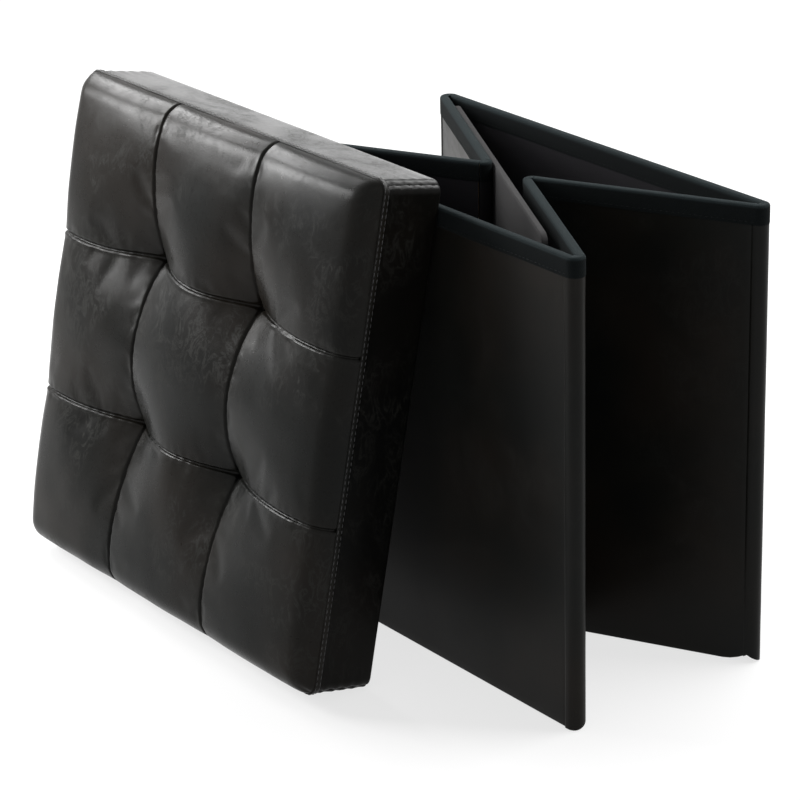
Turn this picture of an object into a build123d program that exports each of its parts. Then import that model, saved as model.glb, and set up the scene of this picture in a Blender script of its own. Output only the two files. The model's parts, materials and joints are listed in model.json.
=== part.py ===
from build123d import *
import math
import os

# Folding storage ottoman, half folded, with its lid leaning on the front wall.
# Sizes in millimetres. X runs along the front wall, Y to the back, Z is up.
# The origin is the middle of the front wall's foot.

# Wall layers and heights
WALL_H = 354.5          # height of every wall
CORE_T = 4.2            # fibreboard in a wall
LEATHER_T = 1.1         # outer cover
LINING_T = 0.7          # inner cloth
BINDING_H = 14.0        # depth of the cloth hem over a wall's top edge
BINDING_WEB_T = 0.8     # hem over the top edge
GLUE_GAP = 0.05         # between layers of one body
MOVE_GAP = 0.4          # between bodies that move past each other

# Fold geometry
HALF_L = 170.2          # side half, from its corner fold to the middle fold
FOLD_ROOM = 6.0         # how much wider the box is than deep, on each side
CORNER_OFF = 0.8        # corner axis inside a wall's inner face
FOLD_OFF = 0.5          # middle fold's axis outside a wall's outer face
FOLD_SLACK = 7.45       # room left beside the floor board between the folds, at rest
FOOT_R = 9.5            # rounding of the box's corners at the foot
TUCK_T = 0.7            # tucked-in strip of the front left corner

# Loose floor board, stood on its long edge along the left back half
FLOOR_CORE_T = 3.6
FLOOR_CLOTH_T = 0.7
FLOOR_R = 10.0          # corner rounding
FLOOR_START = 10.0      # from the back left corner's axis to the board's end
FLOOR_END_GAP = 0.4     # from its other end to the front corner's axis, box open
FLOOR_PLAY = 2.0        # less than the open box's inner width

# Lid, made flat with its rim at zero and then leaned on the front wall
LID_R = 10.0            # corner rounding
LID_LEAN_DEG = 11.5
LID_SHIFT = 152.4       # how far the lid's middle stands to the left
LID_PLAY = 0.8          # between the walls and the lid's hollow, each side
LID_SKIN_T = 1.2        # leather on the lid
LID_LINING_T = 0.6
LID_SKIRT_T = 4.8       # board in the lid's sides
LID_RECESS = 31.3       # depth of the hollow that drops over the walls
LID_PANEL_T = 5.0
SEAM_BELOW = 0.3        # top of the leather band under the top of the foam
COVER_GAP = 0.3         # seam between the band and the cushion cover
SEAM_TAPE_W = 5.0
SEAM_TAPE_T = 0.6
FOAM_T = 13.2           # flat foam under the pads
CHANNEL = 2.0           # sewn groove between two pads
EDGE_RISE = 2.4         # cushion height above the foam at the lid's edge
EDGE_SWELL = 2.5        # extra height at the middle of an edge pad's edge
TUFT_RISE = 2.0         # at a tuft point
SEAM_RISE = 20.9        # of a seam half way between tufts
OUTER_SEAM_RISE = 17.9  # of a seam half way from tuft to edge
PAD_RISE = 26.4         # top of the middle pad
OUTER_PAD_RISE = 23.4   # top of the eight outer pads
ROUNDING = 2.6          # how full a pad is towards its sides
TIE_R = 0.9
TIE_HOLE_R = 1.3
KNOT_H = 1.0
WASHER_R = 9.0
WASHER_T = 1.4
STAPLE_L = 10.0
STAPLE_W = 0.9
STAPLE_T = 0.5
STAPLES_PER_SIDE = 6
STAPLE_INSET = 8.0


def fold_angle():
    """How far the side halves are folded in when the slack beside the floor board is left."""
    step = CORNER_OFF + WALL_T + FOLD_OFF
    need = 2 * (WALL_T + FOLD_OFF) + MOVE_GAP + FLOOR_T + FOLD_SLACK
    low, high = 30.0, 85.0
    for _ in range(60):
        middle = (low + high) / 2
        c = math.cos(math.radians(middle))
        s = math.sin(math.radians(middle))
        room = 2 * (CORNER_HALF + step * c - HALF_L * s) * c
        low, high = (middle, high) if room > need else (low, middle)
    return low


# Values that follow from those above
WALL_T = CORE_T + LEATHER_T + LINING_T
FLOOR_T = FLOOR_CORE_T + 2 * FLOOR_CLOTH_T
CORNER_HALF = HALF_L + FOLD_ROOM
FOLD_DEG = fold_angle()
CORNER_R = WALL_T + CORNER_OFF
FOLD_R = WALL_T + FOLD_OFF
FLOOR_L = 2 * HALF_L - FLOOR_START - FLOOR_END_GAP
FLOOR_H = 2 * (CORNER_HALF + CORNER_OFF) - FLOOR_PLAY
FRONT_LEN = 2 * CORNER_HALF
COVER_TOP = WALL_H - BINDING_H
FRONT_Y = -WALL_T / 2
BOX_W = 2 * (CORNER_HALF + CORNER_R)
COS = math.cos(math.radians(FOLD_DEG))
SIN = math.sin(math.radians(FOLD_DEG))
AXIS_STEP = CORNER_OFF + WALL_T + FOLD_OFF
CORNER_Y = FRONT_Y + CORNER_R
FOLD_X = CORNER_HALF + AXIS_STEP * COS - HALF_L * SIN
FOLD_Y = CORNER_Y + AXIS_STEP * SIN + HALF_L * COS
BACK_Y = 2 * FOLD_Y - FRONT_Y
BACK_CORNER_Y = BACK_Y - CORNER_R
LID_CAVITY_HALF = CORNER_HALF + CORNER_R + LID_PLAY
LID_BOARD_HALF = LID_CAVITY_HALF + LID_LINING_T + GLUE_GAP + LID_SKIRT_T
LID_HALF = LID_BOARD_HALF + GLUE_GAP + LID_SKIN_T
LID_SIDE = 2 * LID_HALF
LID_X = -LID_SHIFT
TUFT_AT = LID_SIDE / 6
LID_PANEL_TOP = LID_RECESS + LID_PANEL_T
FOAM_TOP = LID_PANEL_TOP + GLUE_GAP + FOAM_T
BOXING_H = FOAM_TOP - SEAM_BELOW
PAD_BASE = FOAM_TOP + GLUE_GAP
EDGE_Z = FOAM_TOP + EDGE_RISE
TUFT_Z = FOAM_TOP + TUFT_RISE
SEAM_Z = FOAM_TOP + SEAM_RISE
OUTER_SEAM_Z = FOAM_TOP + OUTER_SEAM_RISE
PAD_Z = FOAM_TOP + PAD_RISE
OUTER_PAD_Z = FOAM_TOP + OUTER_PAD_RISE
LINING_TOP = LID_RECESS - GLUE_GAP
LINING_UNDER = LINING_TOP - LID_LINING_T
LEAN = math.radians(LID_LEAN_DEG)
LID_FOOT_Y = FRONT_Y - WALL_H * math.tan(LEAN) - MOVE_GAP / math.cos(LEAN)

MIN3 = (Align.MIN, Align.MIN, Align.MIN)
ROUND = (Align.CENTER, Align.CENTER, Align.MIN)


def block(x0, x1, y0, y1, z0, z1):
    """A box between two corners."""
    return Pos(x0, y0, z0) * Box(x1 - x0, y1 - y0, z1 - z0, align=MIN3)


def rod(radius, z0, z1):
    """A round rod standing on z0."""
    return Pos(0, 0, z0) * Cylinder(radius, z1 - z0, align=ROUND)


def sector(start_deg, end_deg, reach, height):
    """A fan-shaped prism about Z, used to cut a piece out of a tube."""
    steps = 8
    pts = [(0, 0)]
    for i in range(steps + 1):
        a = math.radians(start_deg + (end_deg - start_deg) * i / steps)
        pts.append((reach * math.cos(a), reach * math.sin(a)))
    return extrude(make_face(Polyline(*pts, close=True)), height)


def strip(inner_r, outer_r, start_deg, end_deg):
    """A tall curved strip of cloth or leather round a fold's axis."""
    tube = rod(outer_r, 0, WALL_H) - rod(inner_r, 0, WALL_H)
    return tube & sector(start_deg, end_deg, 4 * outer_r, WALL_H)


def slab(side, radius, z0, z1):
    """A square slab with rounded corners."""
    return Pos(0, 0, z0) * extrude(RectangleRounded(side, side, radius), z1 - z0)


def wall(length):
    """The four layers of one wall, outer face on Y 0, inner face on Y WALL_T."""
    end = length - LEATHER_T
    inner = WALL_T - LINING_T
    cover = block(0, length, 0, WALL_T, 0, COVER_TOP)
    cover -= block(LEATHER_T, end, LEATHER_T, WALL_T, LEATHER_T, COVER_TOP)
    g = GLUE_GAP
    core = block(LEATHER_T + g, end - g, LEATHER_T + g, inner - g, LEATHER_T + g, WALL_H - BINDING_WEB_T - g)
    lining = block(LEATHER_T + g, end - g, inner, WALL_T, LEATHER_T + g, COVER_TOP - g)
    binding = block(0, length, 0, WALL_T, COVER_TOP + g, WALL_H)
    binding -= block(LEATHER_T, end, LEATHER_T, inner, COVER_TOP + g, WALL_H - BINDING_WEB_T)
    long_top = binding.edges().filter_by(Axis.X).group_by(Axis.Z)[-1]
    binding = fillet(long_top, 0.6)
    return {"cover": cover, "core": core, "lining": lining, "binding": binding}


def half_place(side, end):
    """Where a side half stands. side is 1 right or -1 left, end is 1 front or -1 back."""
    out = (side * COS, end * SIN)
    along = (-out[1], out[0])
    corner = (side * CORNER_HALF, CORNER_Y if end > 0 else BACK_CORNER_Y)
    to_fold = along[0] * -side
    first = 0.0 if to_fold > 0 else -(HALF_L - MOVE_GAP)
    x = corner[0] + out[0] * CORNER_R + along[0] * first
    y = corner[1] + out[1] * CORNER_R + along[1] * first
    return Location((x, y, 0), (0, 0, math.degrees(math.atan2(along[1], along[0]))))


def foot_shape():
    """The box seen from the front, with its foot corners rounded, as a long prism."""
    outline = RectangleRounded(BOX_W, WALL_H + 2 * FOOT_R, FOOT_R)
    return extrude(Plane.XZ * Pos(0, WALL_H / 2 + FOOT_R) * outline, 2 * BACK_Y, both=True)


def walls():
    """All six walls as placed layers, by node name."""
    placed = {}
    foot = foot_shape()
    front = Location((-CORNER_HALF, FRONT_Y, 0))
    back = Location((CORNER_HALF, BACK_Y, 0), (0, 0, 180))
    whole = wall(FRONT_LEN)
    half = wall(HALF_L - MOVE_GAP)
    sets = [
        ("front", whole, front),
        ("back", whole, back),
        ("right_front", half, half_place(1, 1)),
        ("right_back", half, half_place(1, -1)),
        ("left_front", half, half_place(-1, 1)),
        ("left_back", half, half_place(-1, -1)),
    ]
    for name, layers, place in sets:
        for layer, solid in layers.items():
            placed[f"{name}_{layer}"] = (place * solid) & foot
    return placed


def folds():
    """The leather strips round the four corners and the cloth round the two middle folds."""
    made = {}
    seat = math.degrees(GLUE_GAP / CORNER_R)
    free = math.degrees(MOVE_GAP / CORNER_R)
    foot = foot_shape()
    right = strip(CORNER_R - LEATHER_T, CORNER_R, -90 + seat, FOLD_DEG - free)
    fr = (Pos(CORNER_HALF, CORNER_Y, 0) * right) & foot
    made["front_right_corner"] = fr
    middle = Plane(origin=(0, FOLD_Y, 0), z_dir=(0, 1, 0))
    made["back_right_corner"] = mirror(fr, middle)
    made["back_left_corner"] = mirror(made["back_right_corner"], Plane.YZ)
    # the front left corner is two strips, one tucked inside the other
    quarter = strip(CORNER_R - LEATHER_T, CORNER_R, -90 + seat, 0)
    tuck_r = CORNER_R - LEATHER_T - MOVE_GAP
    tuck = strip(tuck_r - TUCK_T, tuck_r, 0, FOLD_DEG - seat)
    for name, shape in (("front_left_corner", quarter), ("front_left_tuck", tuck)):
        made[name] = mirror((Pos(CORNER_HALF, CORNER_Y, 0) * shape) & foot, Plane.YZ)
    seat = math.degrees(GLUE_GAP / FOLD_R)
    free = math.degrees(MOVE_GAP / FOLD_R)
    cloth = strip(FOLD_R - LINING_T, FOLD_R, 180 - FOLD_DEG + free, 180 + FOLD_DEG - seat)
    rm = Pos(FOLD_X, FOLD_Y, 0) * cloth
    made["right_middle_fold"] = rm
    made["left_middle_fold"] = mirror(rm, Plane.YZ)
    return made


def floor_board():
    """The loose floor board: a fibreboard in a cloth cover, closed by a cloth sheet."""
    t = FLOOR_CLOTH_T
    g = GLUE_GAP
    face = Pos(FLOOR_L / 2, FLOOR_H / 2) * RectangleRounded(FLOOR_L, FLOOR_H, FLOOR_R)
    inside = Pos(FLOOR_L / 2, FLOOR_H / 2) * RectangleRounded(FLOOR_L - 2 * t, FLOOR_H - 2 * t, FLOOR_R - t)
    fit = Pos(FLOOR_L / 2, FLOOR_H / 2) * RectangleRounded(
        FLOOR_L - 2 * t - 2 * g, FLOOR_H - 2 * t - 2 * g, FLOOR_R - t - g
    )
    cover = extrude(face, FLOOR_T) - Pos(0, 0, t) * extrude(inside, FLOOR_T)
    core = Pos(0, 0, t + g) * extrude(fit, FLOOR_CORE_T - 2 * g)
    backing = Pos(0, 0, FLOOR_T - t) * extrude(fit, t)
    along = (SIN, -COS)
    inward = (COS, SIN)
    off = MOVE_GAP - CORNER_OFF + FLOOR_T
    x = -CORNER_HALF + along[0] * FLOOR_START + inward[0] * off
    y = BACK_CORNER_Y + along[1] * FLOOR_START + inward[1] * off
    place = Location((x, y, 0), (0, 0, FOLD_DEG - 90)) * Rot(90, 0, 0)
    return {
        "floor_cover": place * cover,
        "floor_core": place * core,
        "floor_backing": place * backing,
    }


def rise(s):
    """0 at both sides of a pad and 1 in its middle, full towards the sides."""
    return 1 - abs(2 * s - 1) ** ROUNDING


def swell(a, b, middle, s):
    """Height along a line from a to b that passes through middle half way."""
    return a + (b - a) * s + (middle - (a + b) / 2) * rise(s)


def corner_z(i, j):
    """Cushion height where grid lines i and j of the nine pads cross."""
    return TUFT_Z if i in (1, 2) and j in (1, 2) else EDGE_Z


def seam_mid_z(line, pad):
    """Height half way along a pad's side that lies on a grid line."""
    if line in (0, 3):
        return EDGE_Z + EDGE_SWELL
    return SEAM_Z if pad == 1 else OUTER_SEAM_Z


def pad(i, j, lines):
    """One crowned pad of the cushion, column i and row j, lofted through arched sections."""
    gap = CHANNEL / 2
    u0 = lines[i] + (gap if i > 0 else 0)
    u1 = lines[i + 1] - (gap if i < 2 else 0)
    v0 = lines[j] + (gap if j > 0 else 0)
    v1 = lines[j + 1] - (gap if j < 2 else 0)
    top = PAD_Z if i == 1 and j == 1 else OUTER_PAD_Z
    sections = []
    for s in (0.0, 0.12, 0.3, 0.5, 0.7, 0.88, 1.0):
        low = swell(corner_z(i, j), corner_z(i + 1, j), seam_mid_z(j, i), s)
        high = swell(corner_z(i, j + 1), corner_z(i + 1, j + 1), seam_mid_z(j + 1, i), s)
        mid = swell(seam_mid_z(i, j), seam_mid_z(i + 1, j), top, s)
        u = u0 + (u1 - u0) * s
        base = Line((u, v0, PAD_BASE), (u, v1, PAD_BASE))
        right = Line((u, v1, PAD_BASE), (u, v1, high))
        arch = ThreePointArc((u, v1, high), (u, (v0 + v1) / 2, mid), (u, v0, low))
        left = Line((u, v0, low), (u, v0, PAD_BASE))
        sections.append(make_face(Wire([base, right, arch, left])))
    return loft(sections)


def cushion():
    """Nine pads sewn in a three by three grid."""
    lines = (-LID_HALF, -TUFT_AT, TUFT_AT, LID_HALF)
    low = LID_R - LID_HALF
    cutter = block(-LID_SIDE, low, -LID_SIDE, low, 0, 2 * PAD_Z)
    corner = pad(0, 0, lines) - (cutter - Pos(low, low, 0) * rod(LID_R, 0, 2 * PAD_Z))
    other = mirror(corner, Plane.YZ)
    corners = [corner, other, mirror(corner, Plane.XZ), mirror(other, Plane.XZ)]
    sides = [pad(i, j, lines) for i, j in ((0, 1), (1, 0), (1, 1), (1, 2), (2, 1))]
    return Compound([solid for shape in corners + sides for solid in shape.solids()])


def four_ties(shape):
    """A copy of a piece at each of the four tuft points."""
    spots = [(x, y) for x in (-TUFT_AT, TUFT_AT) for y in (-TUFT_AT, TUFT_AT)]
    return [Pos(x, y, 0) * shape for x, y in spots]


def lid_sides(made):
    """The boards and leather bands of the lid's four sides."""
    g = GLUE_GAP
    band = slab(LID_SIDE, LID_R, 0, BOXING_H)
    band -= slab(LID_SIDE - 2 * LID_SKIN_T, LID_R - LID_SKIN_T, LID_SKIN_T, BOXING_H)
    hole = LID_CAVITY_HALF + LID_LINING_T
    band -= block(-hole, hole, -hole, hole, 0, BOXING_H)
    corner_fit = slab(2 * LID_BOARD_HALF, LID_R - LID_SKIN_T, 0, LID_RECESS)
    outer = LID_BOARD_HALF
    inner = LID_BOARD_HALF - LID_SKIRT_T
    long_board = block(-outer, outer, -outer, -inner, LID_SKIN_T + g, LID_RECESS - g) & corner_fit
    short_board = block(-inner + g, inner - g, -outer, -inner, LID_SKIN_T + g, LID_RECESS - g) & corner_fit
    far = LID_SIDE
    near = GLUE_GAP
    wedge = extrude(make_face(Polyline((0, -near), (far, -far - near), (-far, -far - near), close=True)), BOXING_H)
    for k, name in enumerate(("foot", "right", "head", "left")):
        turn = Rot(0, 0, 90 * k)
        made[f"lid_band_{name}"] = turn * (band & wedge)
        made[f"lid_skirt_{name}"] = turn * (long_board if k % 2 == 0 else short_board)


def lid():
    """Every piece of the lid, flat, rim down, before it is leaned on the wall."""
    g = GLUE_GAP
    made = {}
    lid_sides(made)
    board_r = LID_R - LID_SKIN_T
    panel = slab(2 * LID_BOARD_HALF, board_r, LID_RECESS, LID_PANEL_TOP)
    foam = slab(2 * LID_BOARD_HALF, board_r, LID_PANEL_TOP + g, FOAM_TOP)
    out = LID_CAVITY_HALF + LID_LINING_T
    cav = LID_CAVITY_HALF
    lining = block(-out, out, -out, out, LID_SKIN_T, LINING_TOP)
    lining -= block(-cav, cav, -cav, cav, LID_SKIN_T, LINING_UNDER)
    for hole in four_ties(rod(TIE_HOLE_R, LINING_UNDER, FOAM_TOP)):
        panel -= hole
        foam -= hole
        lining -= hole
    made["lid_panel"] = panel
    made["lid_foam"] = foam
    made["lid_lining"] = lining
    made["lid_cushion"] = cushion()
    low = BOXING_H + (COVER_GAP - SEAM_TAPE_W) / 2
    tape = slab(LID_SIDE + 2 * SEAM_TAPE_T, LID_R + SEAM_TAPE_T, low, low + SEAM_TAPE_W)
    tape -= slab(LID_SIDE + 2 * g, LID_R + g, low, low + SEAM_TAPE_W)
    made["lid_seam_tape"] = tape
    washer_top = LINING_UNDER - g
    washer = rod(WASHER_R, washer_top - WASHER_T, washer_top) - rod(TIE_HOLE_R, 0, washer_top)
    knot_top = washer_top - WASHER_T - g
    tie = rod(TIE_R, knot_top - KNOT_H, TUFT_Z - KNOT_H) + rod(2 * TIE_R, knot_top - KNOT_H, knot_top)
    made["lid_tuft_washers"] = Compound([s for w in four_ties(washer) for s in w.solids()])
    made["lid_tuft_ties"] = Compound([s for t in four_ties(tie) for s in t.solids()])
    row = LID_CAVITY_HALF - STAPLE_INSET
    pitch = 2 * row / STAPLES_PER_SIDE
    staples = []
    for k in range(4):
        for i in range(STAPLES_PER_SIDE):
            x = -row + pitch * (i + 0.5)
            top = LINING_UNDER - g
            one = block(-STAPLE_L / 2, STAPLE_L / 2, -STAPLE_W / 2, STAPLE_W / 2, top - STAPLE_T, top)
            staples.append(Rot(0, 0, 90 * k) * Pos(x, -row, 0) * one)
    made["lid_staples"] = Compound([s for p in staples for s in p.solids()])
    stand = Location((LID_X, LID_FOOT_Y, 0), (90 - LID_LEAN_DEG, 0, 0)) * Pos(0, LID_HALF, 0)
    return {name: stand * solid for name, solid in made.items()}


def main():
    """Builds every piece and writes one file for each."""
    os.makedirs("parts", exist_ok=True)
    pieces = {}
    pieces.update(walls())
    pieces.update(folds())
    pieces.update(floor_board())
    pieces.update(lid())
    for name, solid in pieces.items():
        export_step(solid, os.path.join("parts", f"{name}.step"))
        box = solid.bounding_box()
        print(f"{name:22s} {box.size.X:7.2f} {box.size.Y:7.2f} {box.size.Z:7.2f} solids {len(solid.solids())}")


if __name__ == "__main__":
    main()
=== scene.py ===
import json
import logging
import math
from collections.abc import Callable, Iterator, Sequence
from contextlib import contextmanager
from dataclasses import dataclass, field
from enum import Enum

import bmesh
import bpy
import numpy as np
from mathutils import Matrix, Vector, noise


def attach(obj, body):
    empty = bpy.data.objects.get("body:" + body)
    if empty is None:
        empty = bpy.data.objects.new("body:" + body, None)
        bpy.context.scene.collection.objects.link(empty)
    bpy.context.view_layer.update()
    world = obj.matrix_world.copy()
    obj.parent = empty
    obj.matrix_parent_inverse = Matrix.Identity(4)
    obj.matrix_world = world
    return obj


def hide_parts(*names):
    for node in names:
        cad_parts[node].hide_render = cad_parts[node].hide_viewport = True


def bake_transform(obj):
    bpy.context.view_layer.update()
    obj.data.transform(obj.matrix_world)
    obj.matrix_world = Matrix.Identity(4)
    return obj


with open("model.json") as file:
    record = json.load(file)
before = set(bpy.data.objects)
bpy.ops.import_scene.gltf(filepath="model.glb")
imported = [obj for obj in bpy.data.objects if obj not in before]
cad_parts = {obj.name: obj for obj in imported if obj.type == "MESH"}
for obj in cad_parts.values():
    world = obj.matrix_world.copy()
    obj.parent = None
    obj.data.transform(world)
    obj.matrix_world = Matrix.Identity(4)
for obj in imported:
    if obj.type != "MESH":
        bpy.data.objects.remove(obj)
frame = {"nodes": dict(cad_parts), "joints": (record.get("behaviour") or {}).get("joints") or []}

LOG = logging.getLogger("ottoman")
Array = np.ndarray
Colour = tuple[float, float, float, float]
Spot = tuple[tuple[float, float, float], tuple[float, float]]
MM = 0.001
FULL_TURN = 2 * math.pi
QUARTER_TURN = math.pi / 2
SHARP_EDGE = math.radians(50)
CLOTH_T = 0.5 * MM
SIDE_ROWS = 2
LAP_SHARES = (1.0, 0.85, 0.45)
FILL_FRAMES = 24
FILLING = {
    "quality": 8,
    "mass": 0.25,
    "tension_stiffness": 30.0,
    "compression_stiffness": 30.0,
    "shear_stiffness": 12.0,
    "bending_stiffness": 2.0,
    "air_damping": 3.0,
    "use_pressure": True,
    "uniform_pressure_force": 2.2,
    "shrink_min": -0.004,
}


class Slot(Enum):
    """The record's material slots."""

    LEATHER = "leather"
    CUSHION = "cushion"
    HEM = "hem"
    LINING = "lining"
    FLOOR_CLOTH = "floor_cloth"
    BOARD = "board"
    FOAM = "foam"
    STEEL = "steel"
    TWINE = "twine"


class Coords(Enum):
    """Where a pattern is read from."""

    OBJECT = "Object"
    UV = "UV"


class Signal:
    """A shader value that can stand in an ordinary sum."""

    def __init__(self, shader: "Shader", socket: bpy.types.NodeSocket) -> None:
        """Keeps the socket and the shader that it belongs to."""
        self.shader = shader
        self.socket = socket

    def _math(self, operation: str, *terms: "Signal | float") -> "Signal":
        """Adds one Math node.

        Args:
            operation: the node's operation.
            terms: its values, in order.

        Returns:
            The result.
        """
        values = dict(enumerate(terms))
        return self.shader.out(self.shader.node("ShaderNodeMath", {"operation": operation}, values))

    def __add__(self, other: "Signal | float") -> "Signal":
        """This value plus another."""
        return self._math("ADD", self, other)

    def __radd__(self, other: float) -> "Signal":
        """A number plus this value."""
        return self._math("ADD", other, self)

    def __sub__(self, other: "Signal | float") -> "Signal":
        """This value less another."""
        return self._math("SUBTRACT", self, other)

    def __rsub__(self, other: float) -> "Signal":
        """A number less this value."""
        return self._math("SUBTRACT", other, self)

    def __mul__(self, other: "Signal | float") -> "Signal":
        """This value times another."""
        return self._math("MULTIPLY", self, other)

    def __rmul__(self, other: float) -> "Signal":
        """A number times this value."""
        return self._math("MULTIPLY", other, self)

    def size(self) -> "Signal":
        """This value without its sign."""
        return self._math("ABSOLUTE", self)

    def wave(self) -> "Signal":
        """The sine of this value."""
        return self._math("SINE", self)


class NodeTree:
    """A tree that is written node by node."""

    tree: bpy.types.NodeTree

    def node(
        self, kind: str, settings: dict | None = None, inputs: dict | None = None
    ) -> bpy.types.Node:
        """Adds any node.

        Args:
            kind: the node's type.
            settings: its own properties, set first.
            inputs: values, signals, sockets or a list of them, by socket name or index.

        Returns:
            The node.
        """
        node = self.tree.nodes.new(kind)
        for key, value in (settings or {}).items():
            setattr(node, key, value)
        for key, value in (inputs or {}).items():
            for one in value if isinstance(value, list) else [value]:
                source = one.socket if isinstance(one, Signal) else one
                if isinstance(source, bpy.types.NodeSocket):
                    self.tree.links.new(source, node.inputs[key])
                else:
                    node.inputs[key].default_value = source
        return node


class Shader(NodeTree):
    """The nodes of one material, or of the world."""

    def __init__(self, name: str, world: bpy.types.World | None = None) -> None:
        """Starts an empty material of this name, or empties a world."""
        self.owner = world or bpy.data.materials.new(name)
        self.owner.use_nodes = True
        self.tree = self.owner.node_tree
        self.tree.nodes.clear()

    def out(self, node: bpy.types.Node, name: str | int = 0) -> Signal:
        """One of a node's outputs as a signal."""
        return Signal(self, node.outputs[name])

    def coords(self, source: Coords = Coords.OBJECT) -> Signal:
        """The place on the piece that a pattern reads."""
        return self.out(self.node("ShaderNodeTexCoord"), source.value)

    def axes(self, where: Signal) -> tuple[Signal, Signal, Signal]:
        """A vector's three parts."""
        split = self.node("ShaderNodeSeparateXYZ", None, {0: where})
        return self.out(split, 0), self.out(split, 1), self.out(split, 2)

    def noise(
        self, where: Signal, scale: float, detail: float, rough: float = 0.5, twist: float = 0.0
    ) -> Signal:
        """Cloudy noise.

        Args:
            where: the place that it is read at.
            scale: features in a metre.
            detail: how many finer layers it has.
            rough: how strong the finer layers are.
            twist: how far it is distorted.

        Returns:
            A value from 0 to 1.
        """
        values = {"Vector": where, "Scale": scale, "Detail": detail}
        values |= {"Roughness": rough, "Distortion": twist}
        return self.out(self.node("ShaderNodeTexNoise", None, values), 0)

    def cells(self, where: Signal, scale: float) -> Signal:
        """Distance from the edge of small cells, as on grained leather."""
        values = {"Vector": where, "Scale": scale}
        node = self.node("ShaderNodeTexVoronoi", {"feature": "DISTANCE_TO_EDGE"}, values)
        return self.out(node, "Distance")

    def stretch(
        self, where: Signal, factors: tuple[float, float, float], turn: float = 0.0
    ) -> Signal:
        """The same place with each axis scaled, after a turn about Y."""
        values = {"Vector": where, "Scale": factors, "Rotation": (0.0, turn, 0.0)}
        return self.out(self.node("ShaderNodeMapping", None, values))

    def span(self, value: Signal, low: float, high: float) -> Signal:
        """A value mapped from low..high to 0..1 and held there."""
        settings = {"interpolation_type": "SMOOTHSTEP"}
        return self.out(self.node("ShaderNodeMapRange", settings, {0: value, 1: low, 2: high}))

    def mix(self, factor: Signal, first: "Signal | Colour", second: "Signal | Colour") -> Signal:
        """A colour between two colours."""
        node = self.node("ShaderNodeMix", {"data_type": "RGBA"}, {0: factor, 6: first, 7: second})
        return self.out(node, 2)

    def bump(self, height: Signal, strength: float, distance: float) -> Signal:
        """A normal bent by a height."""
        values = {"Strength": strength, "Distance": distance, "Height": height}
        return self.out(self.node("ShaderNodeBump", None, values))

    def finish(self, gloss: float | None = None, **inputs: "Signal | float") -> bpy.types.Material:
        """Closes the material with a Principled shader.

        Args:
            gloss: its specular level, or none for the usual one.
            inputs: its sockets, with underscores for spaces.

        Returns:
            The material.
        """
        values = {key.replace("_", " "): value for key, value in inputs.items()}
        if gloss is not None:
            values["Specular IOR Level"] = gloss
        surface = self.node("ShaderNodeBsdfPrincipled", None, values)
        self.node("ShaderNodeOutputMaterial", None, {"Surface": self.out(surface)})
        return self.owner


@dataclass(frozen=True)
class FauxLeather:
    """Black grained faux leather with faint marbling."""

    name: str
    base: Colour = (0.0032, 0.0035, 0.0030, 1.0)
    warm: Colour = (0.0076, 0.0060, 0.0045, 1.0)
    vein: Colour = (0.0128, 0.0128, 0.0112, 1.0)
    rough: float = 0.34
    gloss: float = 0.10
    marble: float = 0.3
    grain: float = 620.0
    clouds: float = 7.0
    streaks: float = 85.0
    specks: float = 240.0
    patches: float = 16.0
    relief: float = 0.12 * MM

    def make(self) -> bpy.types.Material:
        """Builds the material."""
        sh = Shader(self.name)
        at = sh.coords()
        pebble = sh.span(sh.cells(at, self.grain), 0.0, 0.32)
        clouds = sh.span(sh.noise(at, self.clouds, 3.0), 0.38, 0.68)
        drawn = sh.stretch(at, (1.0, 1.0, 0.55), 0.6)
        streak = sh.noise(drawn, self.streaks, 8.0, 0.66, 1.2)
        vein = sh.span((streak * 2 - 1).size(), 0.09, 0.0)
        fine = sh.noise(at, self.specks, 3.0)
        patch = sh.span(sh.noise(at, self.patches, 4.0, 0.6, 0.8), 0.42, 0.66)
        veins = vein * patch * self.marble
        colour = sh.mix(veins, sh.mix(clouds, self.base, self.warm), self.vein)
        rough = self.rough + veins * 0.16 + fine * 0.07 + patch * 0.05
        height = pebble * 0.5 + fine * 0.35 - veins * 0.4
        normal = sh.bump(height, 0.2, self.relief)
        return sh.finish(self.gloss, Base_Color=colour, Roughness=rough, Normal=normal)


@dataclass(frozen=True)
class HemTape:
    """Ribbed cloth tape, woven across its length, with a painted highlight along its top fold."""

    name: str
    base: Colour = (0.0017, 0.0023, 0.0025, 1.0)
    light: Colour = (0.0056, 0.0071, 0.0074, 1.0)
    # fold: colour of the painted highlight along the tape's top fold, where light from above falls
    fold: Colour = (0.0165, 0.0225, 0.0240, 1.0)
    rib: float = 1.3 * MM
    # where across the tape the painted highlight on the top fold rises and fades
    fold_highlight: tuple = ((11.8 * MM, 13.6 * MM), (19 * MM, 22 * MM))
    wear: float = 60.0
    relief: float = 0.35 * MM
    gloss: float = 0.05

    def make(self) -> bpy.types.Material:
        """Builds the material."""
        sh = Shader(self.name)
        u, v, _ = sh.axes(sh.coords(Coords.UV))
        rows = ((u + v * 0.5) * (FULL_TURN / self.rib)).wave()
        picks = (v * (FULL_TURN / (self.rib * 0.8))).wave()
        weave = (rows * 0.6 + picks * 0.4) * 0.5 + 0.5
        worn = sh.noise(sh.coords(), self.wear, 5.0, 0.6)
        # painted highlight along the top fold, broken up by the wear noise
        (first, full), (ebb, last) = self.fold_highlight
        fold_highlight = sh.span(v, first, full) * sh.span(v, last, ebb)
        cloth = sh.mix(weave * 0.55 + worn * 0.5, self.base, self.light)
        colour = sh.mix(fold_highlight * (0.55 + worn * 0.4), cloth, self.fold)
        normal = sh.bump(weave + worn * 0.5, 0.5, self.relief)
        rough = 0.78 + worn * 0.15
        return sh.finish(self.gloss, Base_Color=colour, Roughness=rough, Normal=normal)


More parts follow.
